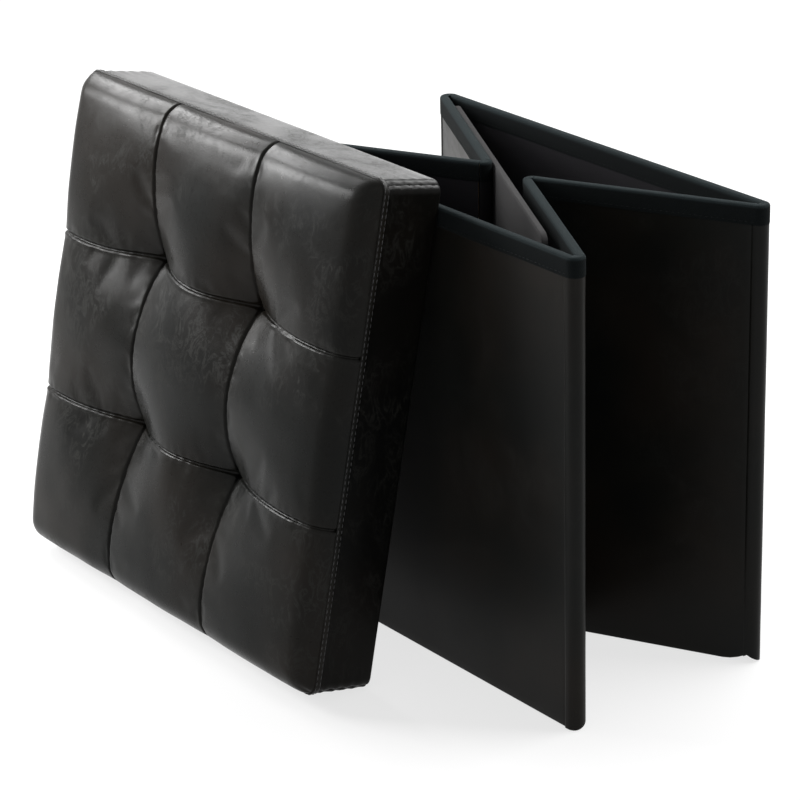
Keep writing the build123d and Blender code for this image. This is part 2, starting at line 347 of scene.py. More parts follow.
@dataclass(frozen=True)
class NonWoven:
    """Pressed cloth with a fine pattern of heat-bonded dots."""

    name: str
    base: Colour
    light: Colour
    pitch: float = 1.6 * MM
    fibres: float = 900.0
    clouds: float = 22.0
    relief: float = 0.3 * MM
    gloss: float = 0.12

    def make(self) -> bpy.types.Material:
        """Builds the material."""
        sh = Shader(self.name)
        u, v, w = sh.axes(sh.coords(Coords.UV))
        turn = FULL_TURN / self.pitch
        dots = (u * turn).wave() * ((v + w) * turn).wave()
        dimple = sh.span(dots, 0.25, 0.85)
        at = sh.coords()
        fibre = sh.noise(at, self.fibres, 3.0, 0.7)
        cloud = sh.noise(at, self.clouds, 5.0, 0.6)
        colour = sh.mix(cloud * 0.7 + fibre * 0.35 - dimple * 0.25, self.base, self.light)
        normal = sh.bump(fibre * 0.6 - dimple, 0.45, self.relief)
        rough = 0.82 + fibre * 0.12
        return sh.finish(self.gloss, Base_Color=colour, Roughness=rough, Normal=normal)


@dataclass(frozen=True)
class Fibreboard:
    """Pressed wood fibre."""

    name: str
    base: Colour = (0.26, 0.17, 0.09, 1.0)
    light: Colour = (0.46, 0.33, 0.20, 1.0)
    fibres: float = 900.0
    clouds: float = 40.0
    relief: float = 0.3 * MM

    def make(self) -> bpy.types.Material:
        """Builds the material."""
        sh = Shader(self.name)
        at = sh.coords()
        fibre = sh.noise(sh.stretch(at, (1.0, 1.0, 0.2)), self.fibres, 5.0, 0.7)
        cloud = sh.noise(at, self.clouds, 4.0)
        colour = sh.mix(fibre * 0.6 + cloud * 0.4, self.base, self.light)
        rough, normal = 0.7 + fibre * 0.2, sh.bump(fibre, 0.3, self.relief)
        return sh.finish(Base_Color=colour, Roughness=rough, Normal=normal)


@dataclass(frozen=True)
class SoftFoam:
    """Open-celled foam."""

    name: str
    base: Colour = (0.55, 0.50, 0.38, 1.0)
    light: Colour = (0.78, 0.74, 0.62, 1.0)
    cells: float = 700.0
    clouds: float = 30.0
    relief: float = 0.5 * MM

    def make(self) -> bpy.types.Material:
        """Builds the material."""
        sh = Shader(self.name)
        at = sh.coords()
        cell = sh.span(sh.cells(at, self.cells), 0.0, 0.3)
        cloud = sh.noise(at, self.clouds, 3.0)
        colour = sh.mix(cell * 0.6 + cloud * 0.4, self.base, self.light)
        rough, normal = 0.9 - cell * 0.05, sh.bump(cell, 0.6, self.relief)
        return sh.finish(Base_Color=colour, Roughness=rough, Normal=normal)


@dataclass(frozen=True)
class PlatedSteel:
    """Dull plated wire and sheet."""

    name: str
    base: Colour = (0.42, 0.42, 0.43, 1.0)
    light: Colour = (0.60, 0.60, 0.60, 1.0)
    scratches: float = 500.0
    relief: float = 0.1 * MM

    def make(self) -> bpy.types.Material:
        """Builds the material."""
        sh = Shader(self.name)
        at = sh.coords()
        scratch = sh.noise(sh.stretch(at, (1.0, 6.0, 1.0)), self.scratches, 4.0, 0.6)
        colour = sh.mix(scratch, self.base, self.light)
        rough, normal = 0.28 + scratch * 0.22, sh.bump(scratch, 0.2, self.relief)
        return sh.finish(Base_Color=colour, Roughness=rough, Normal=normal, Metallic=1.0)


@dataclass(frozen=True)
class SewingThread:
    """Twisted thread, a little shinier than the leather."""

    name: str
    base: Colour = (0.012, 0.012, 0.013, 1.0)
    light: Colour = (0.040, 0.040, 0.042, 1.0)
    twist: float = 0.9 * MM
    fuzz: float = 1500.0
    relief: float = 0.2 * MM
    gloss: float = 0.5

    def make(self) -> bpy.types.Material:
        """Builds the material."""
        sh = Shader(self.name)
        at = sh.coords()
        x, y, z = sh.axes(at)
        ply = ((x + y + z) * (FULL_TURN / self.twist)).wave() * 0.5 + 0.5
        fuzz = sh.noise(at, self.fuzz, 2.0)
        colour = sh.mix(ply * 0.6 + fuzz * 0.4, self.base, self.light)
        rough, normal = 0.42 + fuzz * 0.25, sh.bump(ply, 0.4, self.relief)
        return sh.finish(self.gloss, Base_Color=colour, Roughness=rough, Normal=normal)


class Finishes:
    """Every material of the ottoman, made once."""

    def __init__(self) -> None:
        """Builds them all."""
        self.panel = FauxLeather("panel_leather").make()
        self.cushion = FauxLeather("cushion_leather", marble=1.0, rough=0.245, gloss=0.095).make()
        # The lid's bands take a darker copy of the cushion leather, its colours about halved:
        # painted shade on the lid's sides.
        band_shade, band_shade_warm = (0.0018, 0.0019, 0.0017, 1.0), (0.0040, 0.0034, 0.0027, 1.0)
        boxing = FauxLeather("boxing_leather", band_shade, band_shade_warm, marble=0.6, rough=0.26, gloss=0.06)
        self.boxing = boxing.make()
        self.hem = HemTape("hem_tape").make()
        dark, pale = (0.0045, 0.0042, 0.0052, 1.0), (0.0125, 0.0119, 0.0140, 1.0)
        self.lining = NonWoven("wall_lining", dark, pale).make()
        grey, light_grey = (0.0180, 0.0177, 0.0184, 1.0), (0.0415, 0.0402, 0.0402, 1.0)
        self.floor_cloth = NonWoven("floor_cloth", grey, light_grey).make()
        self.board = Fibreboard("fibreboard").make()
        self.foam = SoftFoam("seat_foam").make()
        self.steel = PlatedSteel("plated_steel").make()
        self.thread = SewingThread("sewing_thread").make()
        black, dull = (0.0024, 0.0030, 0.0032, 1.0), (0.0080, 0.0095, 0.0100, 1.0)
        self.hem_thread = SewingThread("hem_thread", black, dull, gloss=0.06).make()


def ripple(point: Vector, scale: float, seed: float) -> float:
    """Smooth unevenness at a point.

    Args:
        point: where, in metres.
        scale: bumps in a metre.
        seed: keeps pieces from being alike.

    Returns:
        A value from about -1 to 1.
    """
    return noise.noise(point * scale + Vector((seed, seed * 1.7, seed * 0.3)))


def link(name: str, mesh: bpy.types.Mesh) -> bpy.types.Object:
    """Puts a mesh into the scene as an object at the origin."""
    obj = bpy.data.objects.new(name, mesh)
    bpy.context.scene.collection.objects.link(obj)
    return obj


def mesh_object(
    name: str, verts: Array, faces: list, uvs: Array | None = None
) -> bpy.types.Object:
    """Makes a smooth object.

    Args:
        name: the piece's name.
        verts: points, in metres.
        faces: lists of point numbers.
        uvs: a flat place for each point.

    Returns:
        The object.
    """
    mesh = bpy.data.meshes.new(name)
    mesh.from_pydata([tuple(p) for p in verts], [], [list(f) for f in faces])
    mesh.validate()
    if uvs is not None:
        layer = mesh.uv_layers.new(name="flat")
        for loop in mesh.loops:
            layer.data[loop.index].uv = uvs[loop.vertex_index]
    mesh.polygons.foreach_set("use_smooth", [True] * len(mesh.polygons))
    return link(name, mesh)


def grid_faces(
    rows: int, columns: int, start: int = 0, flip: bool = False
) -> list[tuple[int, ...]]:
    """Quads of a grid of points.

    Args:
        rows: number of rows.
        columns: points in a row.
        start: number of the first point.
        flip: turns the faces round.

    Returns:
        The quads.
    """
    faces = []
    for i in range(rows - 1):
        for j in range(columns - 1):
            a = start + i * columns + j
            quad = (a, a + 1, a + columns + 1, a + columns)
            faces.append(quad[::-1] if flip else quad)
    return faces


def sheet(
    name: str, rows: Sequence, columns: Sequence, point: Callable[..., Spot], flip: bool = False
) -> bpy.types.Object:
    """Makes an open skin from a grid of points.

    Args:
        name: the piece's name.
        rows: what each row is made from.
        columns: what each point of a row is made from.
        point: gives a point and its flat place, from a row and a column.
        flip: turns the faces round.

    Returns:
        The object.
    """
    verts, uvs = zip(*(point(row, column) for row in rows for column in columns))
    faces = grid_faces(len(rows), len(columns), flip=flip)
    return mesh_object(name, np.array(verts), faces, np.array(uvs))


def belt(upper: Sequence[int], lower: Sequence[int]) -> list[tuple[int, ...]]:
    """Quads between two closed rows of points."""
    ends = [(k, (k + 1) % len(upper)) for k in range(len(upper))]
    return [(upper[n], upper[k], lower[k], lower[n]) for k, n in ends]


def bell(distance: float, width: float) -> float:
    """1 in the middle, falling off smoothly on both sides."""
    return math.exp(-((distance / width) ** 2))


def flat_lengths(points: Array) -> Array:
    """Distance walked along each row of points."""
    steps = np.linalg.norm(np.diff(points, axis=0), axis=1)
    return np.concatenate([[0.0], np.cumsum(steps)])


def bake(obj: bpy.types.Object) -> bpy.types.Object:
    """Turns an object's modifiers into plain mesh."""
    bpy.context.view_layer.update()
    graph = bpy.context.evaluated_depsgraph_get()
    mesh = bpy.data.meshes.new_from_object(obj.evaluated_get(graph), depsgraph=graph)
    old = obj.data
    obj.modifiers.clear()
    obj.data = mesh
    mesh.name = obj.name
    bpy.data.meshes.remove(old)
    return obj


@contextmanager
def editing(obj: bpy.types.Object) -> Iterator[bmesh.types.BMesh]:
    """Opens a piece's mesh and writes it back."""
    bm = bmesh.new()
    bm.from_mesh(obj.data)
    yield bm
    bm.to_mesh(obj.data)
    bm.free()


def weld(obj: bpy.types.Object, distance: float = 1e-6) -> bpy.types.Object:
    """Joins points that lie together and drops faces without a size."""
    with editing(obj) as bm:
        bmesh.ops.remove_doubles(bm, verts=bm.verts, dist=distance)
        bmesh.ops.dissolve_degenerate(bm, edges=bm.edges, dist=distance)
    return obj


def outwards(obj: bpy.types.Object) -> bpy.types.Object:
    """Makes a closed piece's faces point outwards."""
    with editing(obj) as bm:
        bmesh.ops.recalc_face_normals(bm, faces=bm.faces)
    return obj


def thicken(obj: bpy.types.Object, thickness: float) -> bpy.types.Object:
    """Gives an open skin its thickness, away from where its faces point."""
    solid = obj.modifiers.new("thickness", "SOLIDIFY")
    solid.thickness = thickness
    solid.offset = -1.0
    solid.use_even_offset = False
    bake(obj)
    obj.data.set_sharp_from_angle(angle=SHARP_EDGE)
    return obj


def dress(
    obj: bpy.types.Object, material: bpy.types.Material, slot: Slot, body: str | None, *nodes: str
) -> None:
    """Finishes a piece.

    Args:
        obj: the piece.
        material: its finish.
        slot: the record's slot; not used.
        body: what it rides on, or none to leave it unattached here.
        nodes: CAD nodes that it stands for.
    """
    obj.data.materials.clear()
    obj.data.materials.append(material)
    if body:
        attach(obj, body)
    if nodes:
        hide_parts(*nodes)
    count = len(obj.data.polygons)
    LOG.info("piece %s: %d faces, rides %s, stands for %s", obj.name, count, body, nodes)


class GeometryTree(NodeTree):
    """A Geometry Nodes tree with named inputs."""

    def __init__(self, name: str, **sizes: float) -> None:
        """Starts a tree that takes a mesh, these sizes and a material."""
        self.tree = bpy.data.node_groups.new(name, "GeometryNodeTree")
        face = self.tree.interface
        face.new_socket("Geometry", in_out="INPUT", socket_type="NodeSocketGeometry")
        for key, value in sizes.items():
            kind = "NodeSocketVector" if isinstance(value, tuple) else "NodeSocketFloat"
            face.new_socket(key, in_out="INPUT", socket_type=kind).default_value = value
        face.new_socket("Finish", in_out="INPUT", socket_type="NodeSocketMaterial")
        face.new_socket("Geometry", in_out="OUTPUT", socket_type="NodeSocketGeometry")
        self.inputs = self.tree.nodes.new("NodeGroupInput")

    def given(self, name: str) -> bpy.types.NodeSocket:
        """One of the tree's inputs."""
        return self.inputs.outputs[name]

    def half(self, name: str) -> bpy.types.NodeSocket:
        """Half of one of the tree's sizes."""
        return self.times(self.given(name), 0.5)

    def times(self, value: bpy.types.NodeSocket, factor: float) -> bpy.types.NodeSocket:
        """A value of the tree times a number."""
        values = {0: value, 1: factor}
        return self.node("ShaderNodeMath", {"operation": "MULTIPLY"}, values).outputs[0]

    def shape(self, kind: str, **inputs: object) -> bpy.types.NodeSocket:
        """What a geometry node gives, with underscores for spaces in its sockets' names."""
        values = {key.replace("_", " "): value for key, value in inputs.items()}
        return self.node(f"GeometryNode{kind}", None, values).outputs[0]

    def along(self) -> bpy.types.NodeSocket:
        """The lines of the given mesh."""
        return self.shape("MeshToCurve", Mesh=self.given("Geometry"))

    def aim(self, places: bpy.types.Node) -> bpy.types.NodeSocket:
        """The turn that lays X along the line at each place."""
        values = {"Vector": places.outputs["Tangent"]}
        return self.node("FunctionNodeAlignRotationToVector", {"axis": "X"}, values).outputs[0]

    def close(self, instances: bpy.types.NodeSocket) -> None:
        """Ends the tree in real geometry with its material."""
        real = self.shape("RealizeInstances", Geometry=instances)
        done = self.shape("SetMaterial", Geometry=real, Material=self.given("Finish"))
        smooth = self.shape("SetShadeSmooth", Geometry=done)
        self.node("NodeGroupOutput", None, {"Geometry": smooth})

    def grow(self, obj: bpy.types.Object, finish: bpy.types.Material) -> bpy.types.Object:
        """Runs the tree on an object and keeps the result as plain mesh."""
        change = obj.modifiers.new("grown", "NODES")
        change.node_group = self.tree
        for item in self.tree.interface.items_tree:
            if item.in_out == "INPUT" and item.name == "Finish":
                change[item.identifier] = finish
        return bake(obj)


class StitchTree(GeometryTree):
    """Stitches of thread along every line of a mesh."""

    def __init__(self, name: str, pitch: float, length: float, thread: float) -> None:
        """Builds the tree for one kind of stitch."""
        super().__init__(name, Pitch=pitch, Length=length, Thread=thread)
        row = {"Curve": self.along(), "Length": self.given("Pitch")}
        places = self.node("GeometryNodeCurveToPoints", {"mode": "LENGTH"}, row)
        bead = self.shape("MeshUVSphere", Segments=6, Rings=5, Radius=1.0)
        sizes = {0: self.half("Length"), 1: self.half("Thread"), 2: self.half("Thread")}
        size = self.node("ShaderNodeCombineXYZ", None, sizes).outputs[0]
        stitch = self.shape("Transform", Geometry=bead, Scale=size)
        spread = {2: 0.9, 3: 1.06, "Seed": 7}
        vary = self.node("FunctionNodeRandomValue", {"data_type": "FLOAT"}, spread).outputs[1]
        rows = self.shape(
            "InstanceOnPoints", Points=places.outputs["Points"], Instance=stitch,
            Rotation=self.aim(places), Scale=vary,
        )
        self.close(rows)


class StapleTree(GeometryTree):
    """Wire staples along every line of a mesh, with their legs driven in."""

    def __init__(
        self, name: str, count: int, crown: float, leg: float, wire: float, into: tuple
    ) -> None:
        """Builds the tree for one size of staple."""
        super().__init__(name, Crown=crown, Leg=leg, Wire=wire, Into=into)
        row = {"Curve": self.along(), "Count": count}
        places = self.node("GeometryNodeCurveToPoints", {"mode": "COUNT"}, row)
        bar = {"Vertices": 8, "Radius": self.half("Wire")}
        top = self.shape("MeshCylinder", **bar, Depth=self.given("Crown"))
        joined = [self.shape("Transform", Geometry=top, Rotation=(0.0, QUARTER_TURN, 0.0))]
        leg_bar = self.shape("MeshCylinder", **bar, Depth=self.given("Leg"))
        drop = self.half("Leg")
        for side in (-1.0, 1.0):
            out = self.times(self.half("Crown"), side)
            shift = self.node("ShaderNodeCombineXYZ", None, {0: out, 2: drop}).outputs[0]
            joined.append(self.shape("Transform", Geometry=leg_bar, Translation=shift))
        staple = self.shape("JoinGeometry", Geometry=joined)
        driven = {"Rotation": self.aim(places), "Vector": self.given("Into")}
        upright = {"axis": "Z", "pivot_axis": "X"}
        legs = self.node("FunctionNodeAlignRotationToVector", upright, driven).outputs[0]
        points = places.outputs["Points"]
        self.close(self.shape("InstanceOnPoints", Points=points, Instance=staple, Rotation=legs))


def line_mesh(name: str, lines: list[Array]) -> bpy.types.Object:
    """An object of bare lines for a tree to work along.

    Args:
        name: the piece's name.
        lines: rows of points, in metres.

    Returns:
        The object.
    """
    verts: list = []
    edges: list = []
    for line in lines:
        first = len(verts)
        verts.extend(tuple(p) for p in line)
        edges.extend((first + i, first + i + 1) for i in range(len(line) - 1))
    mesh = bpy.data.meshes.new(name)
    mesh.from_pydata(verts, edges, [])
    return link(name, mesh)


@dataclass(frozen=True)
class BoxSizes:
    """Sizes of the folding box, in metres, and how far it is folded."""

    wall_h: float = 0.3545
    wall_t: float = 0.006
    leather_t: float = 0.0011
    hem_h: float = 0.014
    hem_t: float = 0.6 * MM
    hem_round: float = 1.5 * MM
    half_l: float = 0.1702
    move_gap: float = 0.0004
    corner_off: float = 0.0008
    corner_r: float = 0.0068
    fold_r: float = 0.0065
    foot_r: float = 0.0060
    foot_run: float = 0.020
    front_y: float = -0.003
    lap: float = 0.0032
    lap_rise: float = 0.0005

    @staticmethod
    def joint(name: str) -> dict:
        """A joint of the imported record."""
        return next(j for j in frame["joints"] if j["name"] == name)

    @property
    def fold(self) -> float:
        """How far each side half is folded in, in radians."""
        return math.radians(-self.joint("box_fold")["range_deg"][0])

    def axis(self, joint: str) -> Vector:
        """The point on the floor under a fold's axis."""
        return Vector(self.joint(joint)["pos_m"])

    @property
    def corner_half(self) -> float:
        """From the middle of the box to a corner's axis."""
        return self.axis("box_fold").x

    @property
    def back_y(self) -> float:
        """The back wall's outer face."""
        return self.axis("back_right_fold").y + self.corner_r

    def foot_rise(self, over: float) -> float:
        """Height of a rounded foot at a distance past the start of its rounding."""
        return self.foot_r - math.sqrt(max(self.foot_r ** 2 - max(over, 0.0) ** 2, 0.0))

    def half_foot_z(self, along: float) -> float:
        """Height of a side half's foot at a distance from the corner of the box."""
        return self.foot_r * max(0.0, 1 - along / self.foot_run) ** 2

    def foot_z(self, x: float) -> float:
        """Height of the box's rounded foot at a distance from the middle."""
        return self.foot_rise(abs(x) - (self.corner_half + self.corner_r - self.foot_r))


SIZES = BoxSizes()


def arc_path(radius: float, steps: int) -> list[tuple[float, float]]:
    """Rounded edge from the side (0, radius) to the face (radius, 0)."""
    angles = [QUARTER_TURN * i / steps for i in range(steps + 1)]
    return [(radius - radius * math.cos(a), radius - radius * math.sin(a)) for a in angles]


def bend(steps: int, last: int) -> list[tuple[float, float]]:
    """A quarter round of radius 1: how far in and how far from the top each step lies."""
    angles = [QUARTER_TURN * i / steps for i in range(1, last + 1)]
    return [(1 - math.cos(a), 1 - math.sin(a)) for a in angles]


def face_path(
    length: float, step: float, radius: float, depth: float, far_end: bool
) -> list[tuple[float, float]]:
    """A board's face in section, with its edges rolled back.

    Args:
        length: of the face.
        step: spacing of the points on it.
        radius: of the rolled edge.
        depth: how far the skin goes down the side.
        far_end: whether the far end is rolled too.

    Returns:
        Points as (along, depth).
    """
    roll = [(0.0, depth)] + arc_path(radius, 4)
    count = max(2, round(length / step))
    span = length - radius * (2 if far_end else 1)
    path = roll + [(radius + span * i / count, 0.0) for i in range(1, count)]
    if far_end:
        return path + [(length - x, d) for x, d in reversed(roll)]
    return path + [(length, 0.0)]


@dataclass
class Wall:
    """One wall of the box: leather outside, cloth inside, a hem on top."""

    name: str
    body: str
    length: float
    place: Matrix
    seed: float
    sizes: BoxSizes = SIZES
    roll: float = 1.3 * MM
    step: float = 6.0 * MM
    skin_wave: float = 0.22 * MM
    skin_rim: float = 18 * MM
    skin_tuck: float = 2 * MM
    skin_short: float = 0.9 * MM
    cloth_wave: float = 0.12 * MM
    cloth_rim: float = 10 * MM
    cloth_tuck: float = 1.5 * MM
    board_drop: float = 1.1 * MM
    board_back: float = 0.75 * MM
    foot_reach: float = 14 * MM
    fit: float = 0.05 * MM
    hem_proud: float = 0.25 * MM
    hem_sunk: float = 0.3 * MM
    hem_step: float = 4 * MM
    hem_sway: float = 0.35 * MM
    hem_sway_h: float = 6 * MM
    hem_puff: float = 0.08 * MM
    hem_gap: float = 0.0
    stitch_h: float = 2.2 * MM
    stitch_inset: float = 2 * MM
    corner_end: float | None = None

    def foot_lift(self, at: Vector) -> float:
        """How far the rounded foot lifts a point of the wall."""
        s = self.sizes
        if self.corner_end is None:
            rise = s.foot_z((self.place @ at).x)
        else:
            rise = s.half_foot_z(abs(at.x - self.corner_end))
        return rise * max(0.0, 1 - at.z / self.foot_reach)

    def build_skin(self) -> bpy.types.Object:
        """The leather outer face, rolled round the ends and the foot."""
        s = self.sizes
        top = s.wall_h - s.hem_h + self.skin_tuck
        depth = s.wall_t - self.skin_short

        def point(up: tuple[float, float], along: tuple[float, float]) -> Spot:
            """A point of the skin, from its places up and along the wall, as (place, depth)."""
            (z, dz), (x, dx) = up, along
            return (x, max(dx, dz), z), (x + dx, z + dz)

        x_path = face_path(self.length, self.step, self.roll, depth, True)
        z_path = face_path(top, self.step, self.roll, depth, False)
        skin = weld(sheet(f"{self.name}_skin", z_path, x_path, point))
        for v in skin.data.vertices:
            x, y, z = v.co
            inside = min(x, self.length - x, z, top - z) / self.skin_rim
            if y < 0.2 * MM and inside > 0:
                wave = ripple(v.co, 9.0, self.seed) + 0.5 * ripple(v.co, 24.0, self.seed + 3)
                v.co.y -= min(1.0, inside) * self.skin_wave * (0.6 + wave)
            v.co.z += self.foot_lift(Vector((x, v.co.y, z)))
        return thicken(skin, s.leather_t * 0.9)

    def build_cloth(self) -> bpy.types.Object:
        """The non-woven cloth on the inner face."""
        s = self.sizes
        inset = s.leather_t + self.fit
        low, high = inset, s.wall_h - s.hem_h + self.cloth_tuck

        def point(z: float, x: float) -> Spot:
            """A point of the cloth, uneven away from its edges."""
            edge = min(x - inset, self.length - inset - x, z - low) / self.cloth_rim
            wave = ripple(Vector((x, 1.0, z)), 14.0, self.seed + 9)
            depth = s.wall_t - self.cloth_wave + self.cloth_wave * min(1.0, edge) * wave
            return (x, depth, z + self.foot_lift(Vector((x, depth, z)))), (x, z)

        xs = np.linspace(inset, self.length - inset, max(2, round(self.length / self.step)))
        zs = np.linspace(low, high, round((high - low) / self.step))
        return thicken(sheet(f"{self.name}_inner_cloth", zs, xs, point, flip=True), CLOTH_T)

    def build_board(self) -> bpy.types.Object:
        """The fibreboard of a side half, rounded where its foot meets the corner of the box."""
        s = self.sizes
        near, high = s.leather_t + self.fit, s.wall_h - self.board_drop
        far = self.length - near
        foot = np.linspace(0.0, s.foot_run, 9)
        outline = [(near + d, near + s.half_foot_z(d)) for d in foot]
        outline += [(far, near), (far, high), (near, high)]
        if self.corner_end:
            outline = [(self.length - x, z) for x, z in reversed(outline)]
        count = len(outline)
        verts = [(x, y, z) for y in (near, s.wall_t - self.board_back) for x, z in outline]
        faces = [list(range(count)), list(range(2 * count - 1, count - 1, -1))]
        ends = [(i, (i + 1) % count) for i in range(count)]
        faces += [[i, i + count, n + count, n] for i, n in ends]
        board = outwards(mesh_object(f"{self.name}_board", np.array(verts), faces))
        board.data.set_sharp_from_angle(angle=SHARP_EDGE)
        return board

    def hem_section(self) -> list[tuple[float, float]]:
        """The hem in section, as (depth, height), from its outer foot to its inner foot."""
        s, r = self.sizes, self.sizes.hem_round
        low, top = s.wall_h - s.hem_h, s.wall_h
        out, inn = -self.hem_proud, s.wall_t - self.hem_sunk
        points = [(out + 0.15 * MM, low)]
        points += [(out, z) for z in (low + MM, low + 5 * MM, top - r)]
        points += [(out + r * across, top - r * down) for across, down in bend(5, 4)]
        points += [(out + r, top), (s.wall_t / 2, top + 0.05 * MM), (inn - r, top)]
        points += [(inn - r * down, top - r * across) for across, down in bend(5, 4)]
        points += [(inn, z) for z in (top - r, low + 5 * MM, low + MM)]
        return points + [(inn - 0.1 * MM, low)]

    def build_hem(self) -> bpy.types.Object:
        """The cloth tape folded over the top edge."""
        s = self.sizes

        def point(x: float, at: tuple) -> Spot:
            """A point of the hem, from its places along the wall and in the section."""
            (depth, height), far = at
            sway = self.hem_sway * ripple(Vector((x, 2.0, 0.0)), 30.0, self.seed)
            low = max(0.0, 1 - (height - (s.wall_h - s.hem_h)) / self.hem_sway_h)
            outer = 1.0 if depth < s.wall_t / 2 else 0.0
            puff = self.hem_puff * outer * ripple(Vector((x, height, 0.0)), 60.0, self.seed + 5)
            return (x, depth - puff, height + sway * low), (x, far)

        section = np.array(self.hem_section())
        count = max(2, round(self.length / self.hem_step))
        xs = np.linspace(0.0, self.length - self.hem_gap, count)
        hem = sheet(f"{self.name}_hem", xs, list(zip(section, flat_lengths(section))), point)
        return thicken(hem, s.hem_t)

    def stitch_lines(self) -> list[Array]:
        """Rows of stitches on the hem, both faces, in the wall's own axes."""
        s = self.sizes
        z = s.wall_h - s.hem_h + self.stitch_h
        xs = np.linspace(self.stitch_inset, self.length - self.stitch_inset, 40)
        outer = -self.hem_proud - s.hem_t - 0.05 * MM
        inner = s.wall_t - self.hem_sunk + s.hem_t - 0.2 * MM
        return [np.array([(x, y, z) for x in xs]) for y in (outer, inner)]

    def build_stitches(self, tree: StitchTree, thread: bpy.types.Material) -> bpy.types.Object:
        """The hem's sewing."""
        return tree.grow(line_mesh(f"{self.name}_hem_stitches", self.stitch_lines()), thread)

    def build(self, tree: StitchTree, finishes: Finishes) -> None:
        """Makes and dresses every layer that shows.

        Args:
            tree: the hem's stitches.
            finishes: the materials.
        """
        thread = finishes.hem_thread
        jobs = [
            (self.build_skin(), finishes.panel, Slot.LEATHER, (f"{self.name}_cover",)),
            (self.build_cloth(), finishes.lining, Slot.LINING, (f"{self.name}_lining",)),
            (self.build_hem(), finishes.hem, Slot.HEM, (f"{self.name}_binding",)),
            (self.build_stitches(tree, thread), thread, Slot.TWINE, ()),
        ]
        if self.corner_end is not None:
            jobs.append((self.build_board(), finishes.board, Slot.BOARD, (f"{self.name}_core",)))
        for obj, finish, slot, nodes in jobs:
            obj.data.transform(self.place)
            dress(obj, finish, slot, self.body, *nodes)


